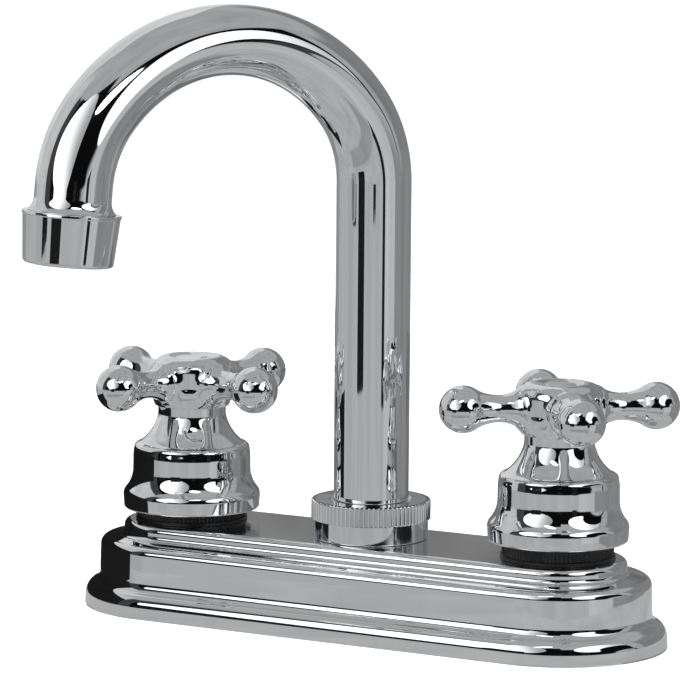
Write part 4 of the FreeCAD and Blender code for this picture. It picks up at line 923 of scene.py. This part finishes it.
panel = bpy.data.lights.new("soft_panel", "AREA")
panel.shape = "DISK"
panel.size = 2.4
panel.energy = 60
top_light = bpy.data.objects.new("soft_panel", panel)
top_light.location = (0.3, -0.4, 2.2)
top_light.rotation_euler = (math.radians(-10), math.radians(8), 0)
top_light.visible_glossy = False
bpy.context.scene.collection.objects.link(top_light)
print("the deck reaches", DECK_EDGE, "m and the panel is", panel.size, "m wide")

# %% [markdown]
# Polished metal needs something dark to reflect, or it looks like grey paint. Black cards stand
# near the tap, out of the picture: a low one beside its left end, which blackens the left sides of
# handles and cover but not the spout above it, and four narrow ones in front. A card behind the
# tap glows a dim grey and darkens the cover's table, and a sheet under the tap glows grey and shows
# in its wall: their grey is painted light, a fixed glow in place of grey boards lit by the lamps.
# Only mirrors see them, and they cast no shadow. They stand in the room as real boards, not in the
# backdrop, because things this near look different from the foot of the tap and from the top of
# its spout.

# %% Cards
CARDS = [
    ("side_card", (-0.100, -0.055), (-0.100, 0.045), 0.042),
    ("left_card", (-0.119, -0.358), (0.008, -0.390), 0.09),
    ("corner_card", (-0.521, -0.671), (-0.370, -0.765), 0.12),
    ("middle_card", (0.390, -0.780), (0.500, -0.728), 0.12),
    ("right_card", (0.288, -0.198), (0.312, -0.156), 0.09),
]
BACK_CARD = ("back_card", (-0.175, 0.10), (0.050, 0.10), 0.058)
SHEET_LENGTH, SHEET_WIDTH, SHEET_HEIGHT = 0.150, 0.105, 0.0004


def hang(name, points, material):
    """A flat sheet through the given points that only mirrors see."""
    sheet_mesh = bpy.data.meshes.new(name)
    sheet_mesh.from_pydata(points, [], [tuple(range(len(points)))])
    sheet_mesh.materials.append(material)
    sheet = bpy.data.objects.new(name, sheet_mesh)
    bpy.context.scene.collection.objects.link(sheet)
    sheet.visible_camera = sheet.visible_diffuse = False
    sheet.visible_shadow = sheet.visible_transmission = False


def stand(name, start, end, top, material):
    """A card that stands on the line from start to end."""
    corners = [(*start, 0.0), (*end, 0.0), (*end, top), (*start, top)]
    hang(name, corners, material)


card_black, wires, spot = new_finish("card_black")
felt = wires.blend(wires.noise(spot, 20.0), grey(0.002), grey(0.006))
wires.surface(Base_Color=felt, Roughness=0.9)
for card in CARDS:
    stand(*card, card_black)

# Painted light: the sheet glows a fixed, faintly patchy grey instead of being a grey sheet lit by
# the lamps.
sheet_glow = glowing_finish("grey_sheet", lambda wires, spot: wires.ramp(
    wires.noise(spot, 30.0, 3.0), 0.3, 0.7, 0.43, 0.51))
around = np.linspace(0, 2 * math.pi, 64, endpoint=False)
sheet_rim = [SHEET_LENGTH * np.cos(around), SHEET_WIDTH * np.sin(around), np.full(64, SHEET_HEIGHT)]
hang("near_sheet", np.stack(sheet_rim, -1).tolist(), sheet_glow)

# Painted light: the card glows a dim, patchy grey instead of being a grey card lit by the lamps.
card_glow = glowing_finish("grey_card", lambda wires, spot: wires.ramp(
    wires.noise(spot, 38.0, 4.0, 0.6), 0.3, 0.7, 0.12, 0.24))
stand(*BACK_CARD, card_glow)
print("black cards:", [name for name, *_ in CARDS])

# %% [markdown]
# The lamps are near too: two umbrellas and a small lamp between them, less than half a metre from
# the tap. So the handles see them higher than the spout does. Each is a flat sheet, given by the
# directions in which its outline is seen from one place, beside the spout's outlet: turn to the
# right, then rise, in degrees.

# %% Lamps
RIGHT = np.array([math.cos(LOOK_YAW), math.sin(LOOK_YAW), 0.0])
FRONT = np.array([math.sin(LOOK_YAW), -math.cos(LOOK_YAW), 0.0])
UP = np.array([0.0, 0.0, 1.0])
SIGHT = -0.068 * RIGHT + 0.043 * FRONT + 0.130 * UP
OUTLINE_POINTS = 48


def rounded(turn_at, rise_at, wide, high, start=0, end=360):
    """Directions on an oval with the given half sizes, or on a part of it, as turns and rises."""
    whole = end - start == 360
    angle = np.radians(np.linspace(start, end, OUTLINE_POINTS, endpoint=not whole))
    return np.stack([turn_at + wide * np.cos(angle), rise_at + high * np.sin(angle)], -1)


def hang_lamp(name, directions, reach, light_left, light_right):
    """A glowing sheet across the view from SIGHT, reach metres off. Its light changes sideways."""
    turns, rises = np.radians(directions).T[..., None]
    level = np.sin(turns) * RIGHT + np.cos(turns) * FRONT
    ways = np.cos(rises) * level + np.sin(rises) * UP
    middle = ways.mean(0) / np.linalg.norm(ways.mean(0))
    points = SIGHT + ways * (reach / (ways @ middle))[:, None]
    low, high = np.quantile(points @ RIGHT, (0.3, 0.85))
    material = glowing_finish(name + "_light", lambda wires, spot: wires.ramp(
        wires.dot(spot, RIGHT), low, high, light_left, light_right), rough=0.5)
    hang(name, points.tolist(), material)


bite = rounded(74, -1, 16, 14, start=192, end=40)
bitten = np.concatenate([rounded(60, 14, 27, 20, start=-20, end=262), bite])
hang_lamp("left_umbrella", rounded(-35, 22, 34, 29), 0.440, 1.7, 0.42)
hang_lamp("small_lamp", rounded(20, 31, 17, 6.5), 0.175, 3.0, 3.0)
hang_lamp("right_umbrella", bitten, 0.362, 1.5, 0.65)
print("lamps hang round", SIGHT.round(3))

# %% [markdown]
# The rest of the room is far away and is drawn in the world's nodes. Directions are measured from
# the camera's place: turn is the angle to the right of the point behind it, and rise is the height
# above the horizon, both in degrees. Boxes and ovals with soft edges are laid over each other in
# that map, as one would hang boards in a studio: a dark front, grey walls at the sides, and below
# the horizon a table in a few tones of grey.

# %% The room that the plating reflects
room = bpy.data.worlds.new("grey_room")
room.use_nodes = True
bpy.context.scene.world = room
wires = Wires(room.node_tree)
way = wires.add("ShaderNodeTexCoord").outputs["Generated"]
beside, before = wires.dot(way, RIGHT), wires.dot(way, FRONT)
DEGREES = 180 / math.pi
turn = wires.math("MULTIPLY", wires.math("ARCTAN2", beside, before), DEGREES)
rise = wires.math("MULTIPLY", wires.math("ARCSINE", wires.dot(way, UP)), DEGREES)


def box(turn_low, turn_high, rise_low, rise_high, soft):
    """1 inside the box, falling to 0 over soft degrees outside it."""
    sides = []
    for value, low, high in ((turn, turn_low, turn_high), (rise, rise_low, rise_high)):
        sides.append(wires.ramp(value, low - soft, low))
        sides.append(wires.ramp(value, high, high + soft, 1.0, 0.0))
    across = wires.math("MULTIPLY", sides[0], sides[1])
    return wires.math("MULTIPLY", across, wires.math("MULTIPLY", sides[2], sides[3]))


def oval(turn_at, rise_at, wide, high, soft):
    """1 inside an oval with the given half width and half height, with an edge of soft degrees."""
    side = wires.math("DIVIDE", wires.math("SUBTRACT", turn, turn_at), wide)
    level = wires.math("DIVIDE", wires.math("SUBTRACT", rise, rise_at), high)
    side_square, level_square = (wires.math("MULTIPLY", part, part) for part in (side, level))
    out = wires.math("SQRT", wires.math("ADD", side_square, level_square))
    return wires.ramp(out, 1.0, 1.0 + soft / min(wide, high), 1.0, 0.0)


TABLE_TONE, WALL_TONE = 0.47, 0.42
haze = wires.noise(wires.stretch(way, (2.5, 2.5, 7.0)), 1.0, 4.0, 0.6)
tone = wires.ramp(rise, -4.5, -3.0, TABLE_TONE, WALL_TONE)
SHAPES = [
    (box(-180, -127, -60, 57, 6), 0.72),            # pale wall behind on the left
    (oval(-104, 22, 20, 26, 8), 0.60),              # soft light on the left wall
    (box(102, 172, -45, 33, 6), 0.24),              # dark wall behind on the right
    (box(-85, -64, -3, 47, 2.5), 0.055),            # edge of the dark front
    (box(-68, 2, -3, 49, 1.5), 0.004),              # dark front, left half
    (box(0, 84, -3.5, 39, 1.5), 0.004),             # dark front, right half
    (oval(74, -1, 16, 14, 0.5), 0.05),              # dark rim of a round card on the right
    (oval(74, -3, 13.5, 12.5, 0.5), 0.45),          # its face
    (box(-180, 180, -90, -4.5, 1.0), TABLE_TONE),   # table
    (box(72, 180, -90, -4.5, 8), 0.27),             # its darker right side
    (box(-180, -158, -60, -4.5, 4), 1.0),           # white paper behind the tap
    (box(-152, -130, -40, -4.5, 5), 0.30),          # shadow beside the paper
    (box(166, 180, -40, -15, 4), 1.0),              # the paper's other end
    (box(-62, 30, -34, -23, 3), 0.34),              # darker strip in front
    (box(38, 66, -21, -4.5, 4), 0.57),              # lighter patch in front on the right
]
for mask, value in SHAPES:
    gap = wires.math("SUBTRACT", value, tone)
    tone = wires.math("ADD", tone, wires.math("MULTIPLY", gap, mask))
print("room drawn with", len(room.node_tree.nodes), "nodes")

# %% [markdown]
# A faint haze keeps the room from looking like cut paper. The picture's own background is plain
# white, as on a catalogue page, so what the camera sees directly is set apart from what the
# plating reflects. The plain view transform keeps white as white.

# %% Haze and background
tone = wires.math("MULTIPLY", tone, wires.ramp(haze, 0.3, 0.7, 0.90, 1.10))
seen = wires.add("ShaderNodeLightPath").outputs["Is Camera Ray"]
to_white = wires.math("MULTIPLY", seen, wires.math("SUBTRACT", 1.0, tone))
tone = wires.math("ADD", tone, to_white)
background = wires.add("ShaderNodeBackground", {"Color": grey(1.0), "Strength": tone})
wires.add("ShaderNodeOutputWorld", {"Surface": background.outputs[0]})
bpy.context.scene.view_settings.view_transform = "Standard"
bpy.context.scene.view_settings.look = "None"
print("view transform:", bpy.context.scene.view_settings.view_transform)
